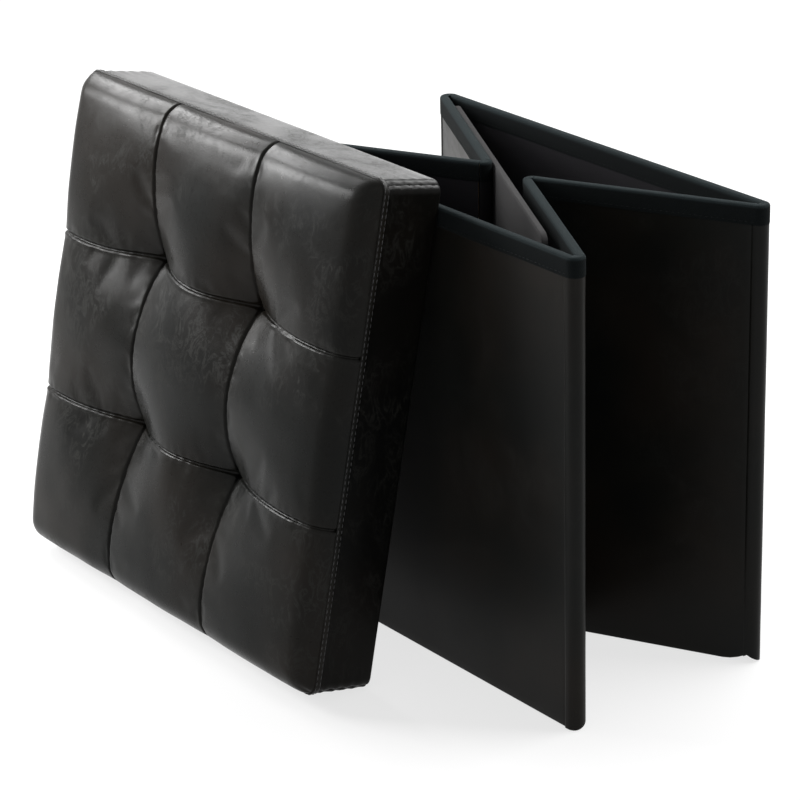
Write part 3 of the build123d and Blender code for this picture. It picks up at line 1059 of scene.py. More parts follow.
@dataclass
class Spine:
    """The strip that joins two walls round a fold, and the hem over its top."""

    name: str
    axis: Vector
    radius: float
    start: float
    end: float
    inner: float
    bodies: tuple[str, ...]
    node: str
    sizes: BoxSizes = SIZES
    laps: tuple[float, float] = (0.0, 0.0)
    rise: float = 0.0
    cap_proud: float = 0.25 * MM
    rounded_foot: bool = True
    foot_start: float = 0.25
    steps: int = 18
    rows: int = 60
    wave: float = 0.12 * MM
    tuck: float = 3 * MM
    thickness: float = 0.9 * MM

    def spot(self, angle: float, radius: float) -> Vector:
        """A point round the axis, on the floor."""
        x = self.axis.x + radius * math.cos(angle)
        return Vector((x, self.axis.y + radius * math.sin(angle), 0.0))

    @property
    def turn(self) -> float:
        """1 where the strip runs counterclockwise, seen from above."""
        return 1.0 if self.end > self.start else -1.0

    def path(self, radius: float) -> Array:
        """The strip in plan, with its laps on the two walls."""
        points = []
        edges = ((self.start, self.laps[0], -1.0), (self.end, self.laps[1], 1.0))
        for angle, lap, way in edges:
            along = Vector((-math.sin(angle), math.cos(angle), 0.0)) * self.turn * way
            out = Vector((math.cos(angle), math.sin(angle), 0.0))
            foot = self.spot(angle, radius)
            ends = [foot + along * lap * share for share in LAP_SHARES]
            ends[0] -= out * self.rise * 0.8
            points.append(ends if lap > 0 else [])
        turn = self.end - self.start
        angles = [self.start + turn * i / self.steps for i in range(self.steps + 1)]
        arc = [self.spot(angle, radius) for angle in angles]
        return np.array([tuple(p) for p in points[0] + arc + points[1][::-1]])

    def foot_lifts(self, count: int) -> list[float]:
        """Height of the strip's foot at each point of its plan.

        Args:
            count: of points in the plan, from one wall to the other.

        Returns:
            The heights: a rise that steepens round the corner, then the foot of the side half.
        """
        s = self.sizes
        if not self.rounded_foot:
            return [0.0] * count
        if not any(self.laps):
            return [s.foot_r] * count
        starts = [0.0] * (len(LAP_SHARES) if self.laps[0] > 0 else 0)
        ends = [s.half_foot_z(share * self.laps[1]) for share in reversed(LAP_SHARES)]
        ends = ends if self.laps[1] > 0 else []
        turns = np.linspace(-self.foot_start, 1 - self.foot_start, count - len(starts) - len(ends))
        turns = np.clip(turns / (1 - self.foot_start), 0.0, 1.0)
        return starts + [s.foot_r * (1 - math.cos(QUARTER_TURN * t)) for t in turns] + ends

    def build_strip(self) -> bpy.types.Object:
        """The leather or cloth strip."""
        s = self.sizes
        plan = self.path(self.radius + self.rise)
        top = s.wall_h - s.hem_h + self.tuck

        def point(share: float, at: tuple) -> Spot:
            """A point of the strip, from its share of the height and its place in plan."""
            (x, y, _), far, low = at
            z = low + (top - low) * share
            away = Vector((x - self.axis.x, y - self.axis.y, 0.0)).normalized()
            wave = self.wave * ripple(Vector((x, y, z)), 45.0, 4.0 + self.start)
            return (x + away.x * wave, y + away.y * wave, z), (z, far)

        places = list(zip(plan, flat_lengths(plan), self.foot_lifts(len(plan))))
        shares = np.linspace(0.0, 1.0, self.rows)
        strip = sheet(f"{self.name}_spine", shares, places, point, flip=self.turn < 0)
        return thicken(strip, self.thickness)

    def build_cap(self) -> bpy.types.Object:
        """The hem carried round the fold."""
        s, r = self.sizes, self.sizes.hem_round
        outer = self.radius + self.cap_proud
        low, top = s.wall_h - s.hem_h, s.wall_h

        def point(angle: float, at: tuple) -> Spot:
            """A point of the hem, from its angle and its place in the section."""
            (radius, z), far = at
            p = self.spot(angle, radius)
            return (p.x, p.y, z), (abs(angle - self.start) * self.radius, far)

        section = [(outer - 0.1 * MM, low)]
        section += [(outer, z) for z in (low + MM, low + 6 * MM, top - r)]
        section += [(outer - r * across, top - r * down) for across, down in bend(5, 5)]
        section += [((outer + self.inner) / 2, top), (self.inner, top - 0.1 * MM)]
        places = list(zip(section, flat_lengths(np.array(section))))
        angles = np.linspace(self.start, self.end, self.steps + 1)
        cap = sheet(f"{self.name}_hem", angles, places, point, flip=self.turn < 0)
        return thicken(cap, s.hem_t)

    def settle(self, obj: bpy.types.Object) -> None:
        """Rides the piece on its wall, or, where it joins two walls, bakes its place into its mesh
        and leaves it unattached.
        """
        if len(self.bodies) == 1:
            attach(obj, self.bodies[0])
            return
        begin, finish = self.spot(self.start, self.radius), self.spot(self.end, self.radius)
        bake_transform(obj)

    def build(self, finishes: Finishes, skin: bpy.types.Material, slot: Slot) -> None:
        """Makes and dresses the strip and its hem.

        Args:
            finishes: the materials.
            skin: what the strip is made of.
            slot: the strip's slot.
        """
        strip, cap = self.build_strip(), self.build_cap()
        dress(strip, skin, slot, None, self.node)
        dress(cap, finishes.hem, Slot.HEM, None)
        self.settle(strip)
        self.settle(cap)


class Box:
    """The folding box: six walls and the folds between them."""

    def __init__(self, sizes: BoxSizes) -> None:
        """Places every wall and fold."""
        self.sizes = sizes
        length = 2 * sizes.corner_half
        self.walls = [
            Wall("front", "front_panel", length, self.plain(-1, sizes.front_y, 0.0), 1.3),
            Wall("back", "back_panel", length, self.plain(1, sizes.back_y, math.pi), 2.1),
        ]
        length = sizes.half_l - sizes.move_gap
        for side, side_name in ((1, "right"), (-1, "left")):
            for end, end_name in ((1, "front"), (-1, "back")):
                name = f"{side_name}_{end_name}"
                place, seed = self.folded(side, end), 3.3 + side + 0.4 * end
                half = Wall(name, f"{name}_half", length, place, seed)
                half.corner_end = 0.0 if side * end > 0 else length
                half.hem_gap = sizes.move_gap if name == "left_front" else 0.0
                self.walls.append(half)

    def plain(self, side: int, y: float, turn: float) -> Matrix:
        """Where the front or back wall stands."""
        spot = (side * self.sizes.corner_half, y, 0.0)
        return Matrix.Translation(spot) @ Matrix.Rotation(turn, 4, "Z")

    def folded(self, side: int, end: int) -> Matrix:
        """Where a side half stands.

        Args:
            side: 1 right, -1 left.
            end: 1 front, -1 back.

        Returns:
            The wall's place.
        """
        s = self.sizes
        out = Vector((side * math.cos(s.fold), end * math.sin(s.fold), 0.0))
        along = Vector((-out.y, out.x, 0.0))
        corner = s.axis("box_fold" if end > 0 else "back_right_fold")
        corner.x *= side
        first = 0.0 if -along.x * side > 0 else -(s.half_l - s.move_gap)
        spot = corner + out * s.corner_r + along * first
        return Matrix.Translation(spot) @ Matrix.Rotation(math.atan2(along.y, along.x), 4, "Z")

    def spines(self) -> list[tuple[Spine, bool]]:
        """Every fold, and whether it is leather."""
        s, f = self.sizes, self.sizes.fold
        right = s.axis("box_fold")
        front_left = Vector((-right.x, right.y, 0.0))
        corners = (
            ("front", "right", right, -QUARTER_TURN, f),
            ("back", "right", s.axis("back_right_fold"), QUARTER_TURN, -f),
            ("back", "left", s.axis("back_left_fold"), QUARTER_TURN, math.pi + f),
        )
        folds = []
        for wall, side, axis, start, end in corners:
            folds.append((Spine(
                f"{wall}_{side}", axis, s.corner_r, start, end,
                bodies=(f"{wall}_panel", f"{side}_{wall}_half"), node=f"{wall}_{side}_corner",
                inner=0.7 * MM, laps=(s.lap, s.lap), rise=s.lap_rise,
            ), True))
        tuck = s.corner_r - s.leather_t - s.move_gap
        folds.append((Spine(
            "front_left", front_left, s.corner_r, -QUARTER_TURN, -math.pi,
            bodies=("front_panel",), node="front_left_corner",
            inner=tuck + 0.1 * MM, laps=(s.lap, 0.0), rise=s.lap_rise,
        ), True))
        folds.append((Spine(
            "front_left_tuck", front_left, tuck - 0.3 * MM, math.pi, math.pi - f,
            bodies=("left_front_half",), node="front_left_tuck",
            inner=0.7 * MM, thickness=0.6 * MM,
        ), True))
        for name, side, mid in (("right", 1, math.pi), ("left", -1, 0.0)):
            folds.append((Spine(
                f"{name}_fold", s.axis(f"{name}_fold"), s.fold_r, mid + side * f, mid - side * f,
                bodies=(f"{name}_front_half", f"{name}_back_half"), node=f"{name}_middle_fold",
                inner=0.5 * MM, rounded_foot=False, thickness=0.6 * MM, cap_proud=-0.3 * MM,
            ), False))
        return folds

    def build(self, finishes: Finishes) -> None:
        """Makes and dresses the box."""
        tree = StitchTree("hem_stitches", 4.2 * MM, 3.0 * MM, 0.55 * MM)
        for wall in self.walls:
            wall.build(tree, finishes)
        for spine, is_leather in self.spines():
            skin = finishes.panel if is_leather else finishes.lining
            spine.build(finishes, skin, Slot.LEATHER if is_leather else Slot.LINING)


class Slab:
    """A closed slab with rounded corners, made of a face, side rows and an underside."""

    def __init__(self, half_x: float, half_y: float, corner: float, xs: Array, ys: Array) -> None:
        """Keeps the outline and the grid lines of its faces."""
        self.half = (half_x, half_y)
        self.corner = corner
        self.xs = xs
        self.ys = ys

    def shift(self, x: float, y: float, inset: float = 0.0) -> tuple[float, float]:
        """A grid point moved so that the outline has round corners, and then inset."""
        cx, cy = self.half[0] - self.corner, self.half[1] - self.corner
        dx, dy = max(abs(x) - cx, 0.0), max(abs(y) - cy, 0.0)
        if dx > 0 and dy > 0:
            scale = max(dx, dy) / math.hypot(dx, dy)
            dx, dy = dx * scale, dy * scale
        px = math.copysign(min(abs(x), cx) + dx, x)
        py = math.copysign(min(abs(y), cy) + dy, y)
        if inset:
            px *= 1 - inset / self.half[0]
            py *= 1 - inset / self.half[1]
        return px, py

    def border(self) -> list[tuple[int, int]]:
        """Grid numbers round the outline."""
        nx, ny = len(self.xs), len(self.ys)
        ring = [(i, 0) for i in range(nx)] + [(nx - 1, j) for j in range(1, ny)]
        ring += [(i, ny - 1) for i in range(nx - 2, -1, -1)]
        return ring + [(0, j) for j in range(ny - 2, 0, -1)]

    def build(
        self, name: str, top: Array, rows: list[tuple[float, float]], under: float | None
    ) -> bpy.types.Object:
        """Makes the mesh.

        Args:
            name: the piece's name.
            top: height of each grid point of the face.
            rows: side rows below the face, as (inset, height).
            under: height of the flat underside, or none to leave it open.

        Returns:
            The object, faces outwards.
        """
        nx, ny = len(self.xs), len(self.ys)
        verts, uvs = [], []
        for j, y in enumerate(self.ys):
            for i, x in enumerate(self.xs):
                px, py = self.shift(x, y)
                verts.append((px, py, top[j, i]))
                uvs.append((x, y))
        faces = grid_faces(ny, nx)
        ring = self.border()
        last = [j * nx + i for i, j in ring]
        for inset, height in rows:
            first = len(verts)
            for i, j in ring:
                px, py = self.shift(self.xs[i], self.ys[j], inset)
                verts.append((px, py, height))
                uvs.append((self.xs[i] * 1.05, self.ys[j] * 1.05))
            current = list(range(first, len(verts)))
            faces += belt(last, current)
            last = current
        if under is not None:
            first = len(verts)
            inset = rows[-1][0]
            for y in self.ys:
                for x in self.xs:
                    px, py = self.shift(x, y, inset)
                    verts.append((px, py, under))
                    uvs.append((x, y))
            faces += grid_faces(ny, nx, first, True)
            faces += belt(last, [first + j * nx + i for i, j in ring])
        return mesh_object(name, np.array(verts), faces, np.array(uvs))


@dataclass
class FloorBoard:
    """The loose floor board, wrapped in grey cloth."""

    length: float = 0.330
    height: float = 0.352
    thickness: float = 0.005
    corner: float = 0.010
    start: float = 0.010
    edge_run: float = 2 * MM
    edge_drop: float = 0.9 * MM
    wave: float = 0.06 * MM
    paste_inset: float = 14 * MM
    sizes: BoxSizes = SIZES

    def place(self) -> Matrix:
        """The board's middle and how it stands beside the left back half."""
        s = self.sizes
        along = Vector((math.sin(s.fold), -math.cos(s.fold), 0.0))
        inward = Vector((math.cos(s.fold), math.sin(s.fold), 0.0))
        spot = s.axis("back_left_fold") + along * (self.start + self.length / 2)
        spot += inward * (s.move_gap - s.corner_off + self.thickness / 2)
        spot.z = self.height / 2
        up = Vector((0, 0, 1))
        turn = Matrix((along, up, along.cross(up))).transposed().to_4x4()
        return Matrix.Translation(spot) @ turn

    def slab(self, half_x: float, half_y: float) -> Slab:
        """A slab with the board's corners."""
        return Slab(half_x, half_y, self.corner, self.lines(half_x), self.lines(half_y))

    def build(self, finishes: Finishes) -> None:
        """Makes and dresses the wrap and its closing sheet."""
        half_x, half_y, half_t = self.length / 2, self.height / 2, self.thickness / 2
        slab = self.slab(half_x, half_y)
        top = np.zeros((len(slab.ys), len(slab.xs)))
        for j, y in enumerate(slab.ys):
            for i, x in enumerate(slab.xs):
                edge = min(half_x - abs(x), half_y - abs(y)) / self.edge_run
                wave = self.wave * ripple(Vector((x, y, 0)), 16.0, 6.2)
                drop = self.edge_drop * (1 - min(edge, 1.0)) ** 2
                top[j, i] = half_t - drop + wave * min(1.0, edge / 8)
        rows = [(0.0, 0.5 * half_t), (0.0, -0.5 * half_t), (0.35 * MM, -half_t + 0.25 * MM)]
        wrap = slab.build("floor_wrap", top, rows, -half_t)
        wrap.data.transform(self.place())
        dress(wrap, finishes.floor_cloth, Slot.FLOOR_CLOTH, "floor_board", "floor_cover")
        slab = self.slab(half_x - self.paste_inset, half_y - self.paste_inset)
        flat = np.full((len(slab.ys), len(slab.xs)), half_t + 0.16 * MM)
        rows = [(0.0, half_t - 0.05 * MM)]
        paste = slab.build("floor_back_sheet", flat, rows, half_t - 0.1 * MM)
        paste.data.transform(Matrix.Rotation(math.pi, 4, "Y"))
        paste.data.transform(self.place())
        dress(paste, finishes.floor_cloth, Slot.FLOOR_CLOTH, "floor_board", "floor_backing")

    @staticmethod
    def lines(half: float) -> Array:
        """Grid lines across the board, close together at its edges."""
        edge = [0.0, 0.5 * MM, 1.1 * MM, 2.0 * MM, 5.0 * MM, 9.0 * MM]
        middle = np.linspace(-half + 15 * MM, half - 15 * MM, 36)
        ends = [-half + e for e in edge], [half - e for e in reversed(edge)]
        return np.concatenate([ends[0], middle, ends[1]])


@dataclass
class Lid:
    """The tufted lid, made flat with its rim at zero and then leaned on the front wall."""

    side: float = 0.381
    corner: float = 0.010
    lean: float = math.radians(11.5)
    spot: tuple[float, float, float] = (-0.1524, -0.075532, 0.0)
    band_h: float = 0.04925
    skin: float = 0.0012
    foam_low: float = 0.03635
    foam_top: float = 0.04955
    knot_low: float = 0.02815
    tie_r: float = 0.0009
    edge_h: float = 0.0508
    edge_round: float = 0.016
    rim_mid_h: float = 0.0675
    rim_seam_h: float = 0.0640
    rim_corner_h: float = 0.0640
    tuft_h: float = 0.0478
    seam_h: float = 0.0690
    outer_seam_h: float = 0.06745
    pad_h: float = 0.07595
    outer_pad_h: float = 0.07295
    slack: float = 0.0015
    rounding: float = 2.05
    hollow_half: float = 0.1838
    hollow_h: float = 0.03065
    rim_h: float = 0.0012
    tape_half: float = 0.0025
    tape_rise: float = 0.0007
    tape_off: float = 0.15 * MM
    fill_cap: float = 3.5 * MM
    fill_reach: float = 2.2 * MM
    fill_tuft: float = 24 * MM
    fill_rim: float = 18 * MM
    dimple_depth: float = 9 * MM
    dimple_r: float = 14 * MM
    seam_reach: float = 14 * MM
    groove_depth: float = 1.5 * MM
    groove_r: float = 1.1 * MM
    lip_h: float = 0.4 * MM
    lip_off: float = 2.4 * MM
    lip_r: float = 1.3 * MM
    pucker_h: float = 0.11 * MM
    pucker_pitch: float = 9 * MM
    pucker_r: float = 6 * MM
    pit_depth: float = 2.2 * MM
    pit_r: float = 4.5 * MM
    drift_r: float = 42 * MM
    band_roll: float = 2.6 * MM
    band_foot: float = 0.1 * MM
    band_swell: float = 0.25 * MM
    band_wave: float = 0.35 * MM
    band_r: float = 19 * MM
    crease_h: float = 0.55 * MM
    crease_run: float = 13 * MM
    crease_pitch: float = 10 * MM
    corner_seam: float = 0.7 * MM
    corner_seam_r: float = 1.2 * MM
    near_corner: float = 0.93
    tuft_drift: dict = field(default_factory=lambda: {
        (-1, 1): 6.5 * MM, (1, 1): 3.0 * MM, (-1, -1): 2.5 * MM, (1, -1): 1.5 * MM,
    })

    @property
    def half(self) -> float:
        """Half of the lid's side."""
        return self.side / 2

    @property
    def tuft(self) -> float:
        """From the middle to a seam."""
        return self.side / 6

    @property
    def cover_foot(self) -> float:
        """Height at which the cushion's cover is sewn down."""
        return self.band_h + 0.3 * MM

    @property
    def band_top(self) -> float:
        """Height of the bands' upper edge."""
        return self.band_h + 0.2 * MM

    @property
    def tape_mid(self) -> float:
        """Height of the middle of the lap."""
        return self.band_h + 0.15 * MM

    @property
    def place(self) -> Matrix:
        """How the lid stands."""
        up = Vector((0.0, math.sin(self.lean), math.cos(self.lean)))
        out = Vector((0.0, -math.cos(self.lean), math.sin(self.lean)))
        turn = Matrix((Vector((1, 0, 0)), up, out)).transposed().to_4x4()
        return Matrix.Translation(Vector(self.spot) + up * self.half) @ turn

    def rise(self, s: float) -> float:
        """0 at both ends of a pad's side and 1 half way."""
        return 1 - abs(2 * s - 1) ** self.rounding

    def seam_profile(self, line: int, pad: int, s: float) -> float:
        """Height along one side of a pad.

        Args:
            line: which of the four grid lines the side lies on.
            pad: which of the three pads along that line.
            s: from 0 to 1 along the side.

        Returns:
            The height.
        """
        def end(k: int) -> float:
            """Height where two lines cross."""
            inner = (line in (1, 2)) + (k in (1, 2))
            return (self.rim_corner_h, self.rim_seam_h, self.tuft_h)[inner]

        a, b = end(pad), end(pad + 1)
        if line in (0, 3):
            mid = self.rim_mid_h
        else:
            mid = self.seam_h if pad == 1 else self.outer_seam_h
        return a + (b - a) * s + (mid - (a + b) / 2) * self.rise(s)

    def locate(self, x: float) -> tuple[int, float]:
        """Which pad a place falls in, and how far across it."""
        lines = (-self.half, -self.tuft, self.tuft, self.half)
        pad = 0 if x < lines[1] else (1 if x < lines[2] else 2)
        return pad, min(max((x - lines[pad]) / (lines[pad + 1] - lines[pad]), 0.0), 1.0)

    def slack_height(self, x: float, y: float) -> float:
        """Height of the cover before it is filled: a sheet hung between its seams."""
        i, s = self.locate(x)
        j, t = self.locate(y)
        low, high = self.seam_profile(j, i, s), self.seam_profile(j + 1, i, s)
        left, right = self.seam_profile(i, j, 0.5), self.seam_profile(i + 1, j, 0.5)
        top = (self.pad_h if i == 1 and j == 1 else self.outer_pad_h) - self.slack
        mid = left + (right - left) * s + (top - (left + right) / 2) * self.rise(s)
        full = low + (high - low) * t + (mid - (low + high) / 2) * self.rise(t)
        return self.edge_h + (full - self.edge_h) * self.shoulder(x) * self.shoulder(y)

    def shoulder(self, x: float) -> float:
        """Round shoulder of the cover: 0 at the lid's edge, 1 further in."""
        out = 1 - min(max((self.half - abs(x)) / self.edge_round, 0.0), 1.0)
        return math.sqrt(max(1 - out * out, 0.0))

    def grid_lines(self) -> Array:
        """Grid lines across the lid, close together at seams and edges."""
        near = np.array([0.0, 1.0, 2.2, 4.0, 6.5]) * MM
        edge = np.array([0.0, 0.4, 1.2, 2.6, 4.6, 7.2, 10.5, 14.5]) * MM
        h, t = self.half, self.tuft
        wide = np.linspace(-h + 14.5 * MM, -t - 6.5 * MM, 28)[1:-1]
        mid = np.linspace(-t + 6.5 * MM, t - 6.5 * MM, 30)[1:-1]
        left = np.concatenate([-h + edge, wide, -t - near[::-1]])
        return np.concatenate([left, -t + near[1:], mid, t - near[::-1][:-1], -left[::-1]])

    def slab(self) -> Slab:
        """The cushion's outline and grid."""
        lines = self.grid_lines()
        return Slab(self.half, self.half, self.corner, lines, lines)

    def build_cushion(self) -> bpy.types.Object:
        """The tufted cover: sewn to its seams and filled by a cloth simulation."""
        slab = self.slab()
        top = np.array([[self.slack_height(x, y) for x in slab.xs] for y in slab.ys])
        heights = np.linspace(self.edge_h, self.cover_foot, SIDE_ROWS + 1)
        sides = [(0.0, h) for h in heights[1:]]
        cover = slab.build("lid_cushion_cover", top, sides, None)
        count = len(slab.xs) * len(slab.ys)
        ring = len(slab.border())
        coords = np.array([v.co for v in cover.data.vertices])
        grid = np.arange(count).reshape(len(slab.ys), len(slab.xs))
        on_seam = np.isclose(np.abs(slab.xs), self.tuft)
        pins = set(grid[:, on_seam].ravel()) | set(grid[on_seam, :].ravel())
        edge = set(grid[0, :]) | set(grid[-1, :]) | set(grid[:, 0]) | set(grid[:, -1])
        pins = (pins - edge) | set(range(count + (SIDE_ROWS - 1) * ring, count + SIDE_ROWS * ring))
        self.fill(cover, sorted(int(p) for p in pins), coords)
        return self.close_cushion(cover, slab, count, ring)

    def fill(self, cover: bpy.types.Object, pins: list[int], before: Array) -> None:
        """Blows the cover up between its seams.

        Args:
            cover: the open cover.
            pins: points that are sewn down.
            before: every point's place at the start.
        """
        group = cover.vertex_groups.new(name="sewn")
        group.add(pins, 1.0, "REPLACE")
        cloth = cover.modifiers.new("filling", "CLOTH")
        rules = cloth.settings
        for key, value in FILLING.items():
            setattr(rules, key, value)
        rules.effector_weights.gravity = 0.0
        rules.vertex_group_mass = group.name
        cloth.collision_settings.use_collision = False
        scene = bpy.context.scene
        for step in range(1, FILL_FRAMES + 1):
            scene.frame_set(step)
        graph = bpy.context.evaluated_depsgraph_get()
        after = np.array([v.co for v in cover.evaluated_get(graph).data.vertices])
        cover.modifiers.clear()
        scene.frame_set(1)
        move = after - before
        length = np.linalg.norm(move, axis=1, keepdims=True)
        limit = self.fill_cap * np.tanh(length / self.fill_cap) / np.maximum(length, 1e-9)
        far = np.hypot(np.abs(before[:, :1]) - self.tuft, np.abs(before[:, 1:2]) - self.tuft)
        limit *= 1 - np.exp(-((far / self.fill_tuft) ** 2))
        inside = self.half - np.abs(before[:, :2]).max(axis=1, keepdims=True)
        limit *= 1 - np.exp(-((inside / self.fill_rim) ** 2))
        placed = before + move * limit
        reach = self.half + self.fill_reach
        placed[:, :2] = np.clip(placed[:, :2], -reach, reach)
        for v, p in zip(cover.data.vertices, placed):
            v.co = p

    def close_cushion(
        self, cover: bpy.types.Object, slab: Slab, count: int, ring: int
    ) -> bpy.types.Object:
        """Closes the cover under the pads, smooths it and draws the seams in.

        Args:
            cover: the filled cover.
            slab: its outline and grid.
            count: points of its face.
            ring: points round its edge.

        Returns:
            The closed cushion.
        """
        verts = [tuple(v.co) for v in cover.data.vertices]
        faces = [tuple(p.vertices) for p in cover.data.polygons]
        bpy.data.objects.remove(cover)
        order = slab.border()
        last = list(range(count + (SIDE_ROWS - 1) * ring, count + SIDE_ROWS * ring))
        low = self.foam_top + 0.1 * MM
        for height in (self.cover_foot, low):
            first = len(verts)
            for i, j in order:
                verts.append((*slab.shift(slab.xs[i], slab.ys[j], self.skin), height))
            current = list(range(first, len(verts)))
            faces += belt(last, current)
            last = current
        first = len(verts)
        for y in slab.ys:
            for x in slab.xs:
                spot = slab.shift(x, y, self.skin + 0.2 * MM)
                verts.append((*spot, low - self.dimple(x, y)))
        faces += grid_faces(len(slab.ys), len(slab.xs), first, True)
        faces += belt(last, [first + j * len(slab.xs) + i for i, j in order])
        cushion = mesh_object("lid_cushion_cover", np.array(verts), faces)
        smooth = cushion.modifiers.new("smooth", "SUBSURF")
        smooth.levels = smooth.render_levels = 1
        bake(cushion)
        self.draw_seams(cushion)
        self.drift_tufts(cushion)
        return cushion

    def dimple(self, x: float, y: float) -> float:
        """How far the nearest tuft draws the foam down at a place."""
        return self.dimple_depth * bell(self.off_tuft(x, y), self.dimple_r)

    def off_tuft(self, x: float, y: float) -> float:
        """Distance from the nearest tuft."""
        return math.hypot(abs(x) - self.tuft, abs(y) - self.tuft)

    def build_foam(self) -> bpy.types.Object:
        """The foam under the pads, drawn down where the tufts are tied."""
        half = self.half - self.skin - 0.05 * MM
        lines = self.grid_lines() * (half / self.half)
        slab = Slab(half, half, self.corner - self.skin, lines, lines)
        top = np.array([[self.foam_top - self.dimple(x, y) for x in lines] for y in lines])
        rows = [(0.0, self.foam_top - 5 * MM), (0.0, self.foam_low + 0.4 * MM)]
        foam = slab.build("lid_soft_foam", top, rows, self.foam_low)
        self.drift_tufts(foam)
        return foam

    def build_ties(self) -> bpy.types.Object:
        """The four cords that tie the tufts down, each with its knot under the lining."""
        r, turns = self.tie_r, 12
        low, high = self.knot_low, self.foam_top - 7.5 * MM
        pole = 0.01 * MM
        neck = low + MM
        rings = [(pole, low), (2 * r, low), (2 * r, neck), (r, neck), (r, high), (pole, high)]
        angles = [FULL_TURN * k / turns for k in range(turns + 1)]
        verts, faces = [], []
        for (across, up), drift in self.tuft_drift.items():
            faces += grid_faces(len(rings), len(angles), len(verts))
            x = across * self.tuft
            for radius, z in rings:
                y = up * self.tuft + (drift if z == high else 0.0)
                verts += [(x + radius * math.cos(a), y + radius * math.sin(a), z) for a in angles]
        return outwards(weld(mesh_object("lid_tie_cords", np.array(verts), faces), 0.03 * MM))

    def draw_seams(self, cushion: bpy.types.Object) -> None:
        """Pulls the seams into grooves with a raised lip, and puckers the leather beside them."""
        normals = [v.normal.copy() for v in cushion.data.vertices]
        for v, normal in zip(cushion.data.vertices, normals):
            x, y, z = v.co
            rim = max(abs(x), abs(y)) > self.half - 3 * MM
            if normal.z < -0.2 or (rim and z < self.band_h + 0.8 * MM):
                continue
            lift = 0.25 * MM * ripple(Vector((x, y, 0.0)), 40.0, 2.0)
            for value, other, lap in ((x, y, 0.0), (y, x, 1.0)):
                signed = value - math.copysign(self.tuft, value)
                gap = abs(signed)
                if gap > self.seam_reach:
                    continue
                groove = self.groove_depth * bell(gap, self.groove_r)
                lip = self.lip_h * bell(signed + self.lip_off, self.lip_r) * lap
                turn = other * FULL_TURN / self.pucker_pitch + 3 * lap
                pucker = bell(gap, self.pucker_r) * math.sin(turn)
                soft = self.pucker_h * (1 + ripple(Vector((x, y, lap)), 30.0, 8.0))
                lift += lip + pucker * soft - groove
            lift -= self.pit_depth * bell(self.off_tuft(x, y), self.pit_r)
            v.co += normal * lift

    def drift_tufts(self, cushion: bpy.types.Object) -> None:
        """Moves the hand-tied tufts a little up from their true places, and the seams with them."""
        for v in cushion.data.vertices:
            x, y, _ = v.co
            for (across, up), drift in self.tuft_drift.items():
                far = math.hypot(x - across * self.tuft, y - up * self.tuft)
                v.co.y += drift * bell(far, self.drift_r)

    def outline(
        self, inset: float, steps: int = 8, straight: int = 60
    ) -> list[list[tuple[float, float, float]]]:
        """The lid's outline in plan, one run for each side, from mid corner to mid corner.

        Args:
            inset: how far inside the outline.
            steps: points in half a corner.
            straight: points along a side.

        Returns:
            For each side, points as (x, y, distance along it).
        """
        r = max(self.corner - inset, 0.3 * MM)
        reach = self.half - inset
        runs = []
        for k in range(4):
            turn = Matrix.Rotation(QUARTER_TURN * k, 2)
            points = []
            for i in range(steps):
                a = math.radians(-135 + 45 * i / steps)
                points.append((-reach + r + r * math.cos(a), -reach + r + r * math.sin(a)))
            for x in np.linspace(-reach + r, reach - r, straight):
                points.append((x, -reach))
            for i in range(1, steps + 1):
                a = math.radians(-90 + 45 * i / steps)
                points.append((reach - r + r * math.cos(a), -reach + r + r * math.sin(a)))
            placed = [turn @ Vector(p) for p in points]
            far = flat_lengths(np.array(points))
            runs.append([(p.x, p.y, d) for p, d in zip(placed, far)])
        return runs

    def swell(self, k: int, x: float, y: float, z: float, end: float) -> float:
        """How far a band's face stands out at a place.

        Args:
            k: which band.
            x: the place across the lid.
            y: the place up the lid.
            z: height above the rim.
            end: distance from the nearer end of the band.

        Returns:
            The distance outwards.
        """
        body = bell(z - self.band_h / 2, self.band_r)
        wave = self.band_wave * ripple(Vector((x, y, z)), 22.0, 5.0 + k)
        under, over = self.band_top - z, z - self.band_foot
        held = max(0.0, min(1.0, under / (4 * MM), over / (8 * MM)))
        crease = self.crease_h * math.exp(-end / self.crease_run)
        crease *= math.sin(z * FULL_TURN / self.crease_pitch + k)
        seam = -self.corner_seam * bell(end, self.corner_seam_r)
        return body * (self.band_swell + wave) + (held * crease + seam)

    def build_bands(self) -> list[bpy.types.Object]:
        """The four leather bands round the lid's sides, sewn at the corners."""
        low, roll = self.band_foot, self.band_roll
        section = [(0.0, z) for z in np.linspace(self.band_top, low + roll, 14)]
        for a in np.linspace(0.3, QUARTER_TURN, 5):
            section.append((roll * (1 - math.cos(a)), low + roll * (1 - math.sin(a))))
        section += [(4.2 * MM, low), (5.9 * MM, low + 0.2 * MM)]
        made = []
        for k, side in enumerate(("foot", "right", "head", "left")):
            runs = [self.outline(inset)[k] for inset, _ in section]

            def point(row: tuple, i: int, k: int = k) -> Spot:
                """A point of the band, from its row and its place along the side."""
                (inset, z), run, far = row
                x, y, d = run[i]
                swell = self.swell(k, x, y, z, min(d, run[-1][2] - d)) if inset < roll else 0.0
                out = [c / self.half for c in (x, y)]
                way = Vector([c if abs(c) > self.near_corner else 0.0 for c in out] + [0.0])
                way = way.normalized() if way.length else way
                return (x + way.x * swell, y + way.y * swell, z), (d, far)

            rows = list(zip(section, runs, flat_lengths(np.array(section))))
            band = sheet(f"lid_boxing_{side}", rows, range(len(runs[0])), point, flip=True)
            made.append(thicken(band, 0.9 * MM))
        return made

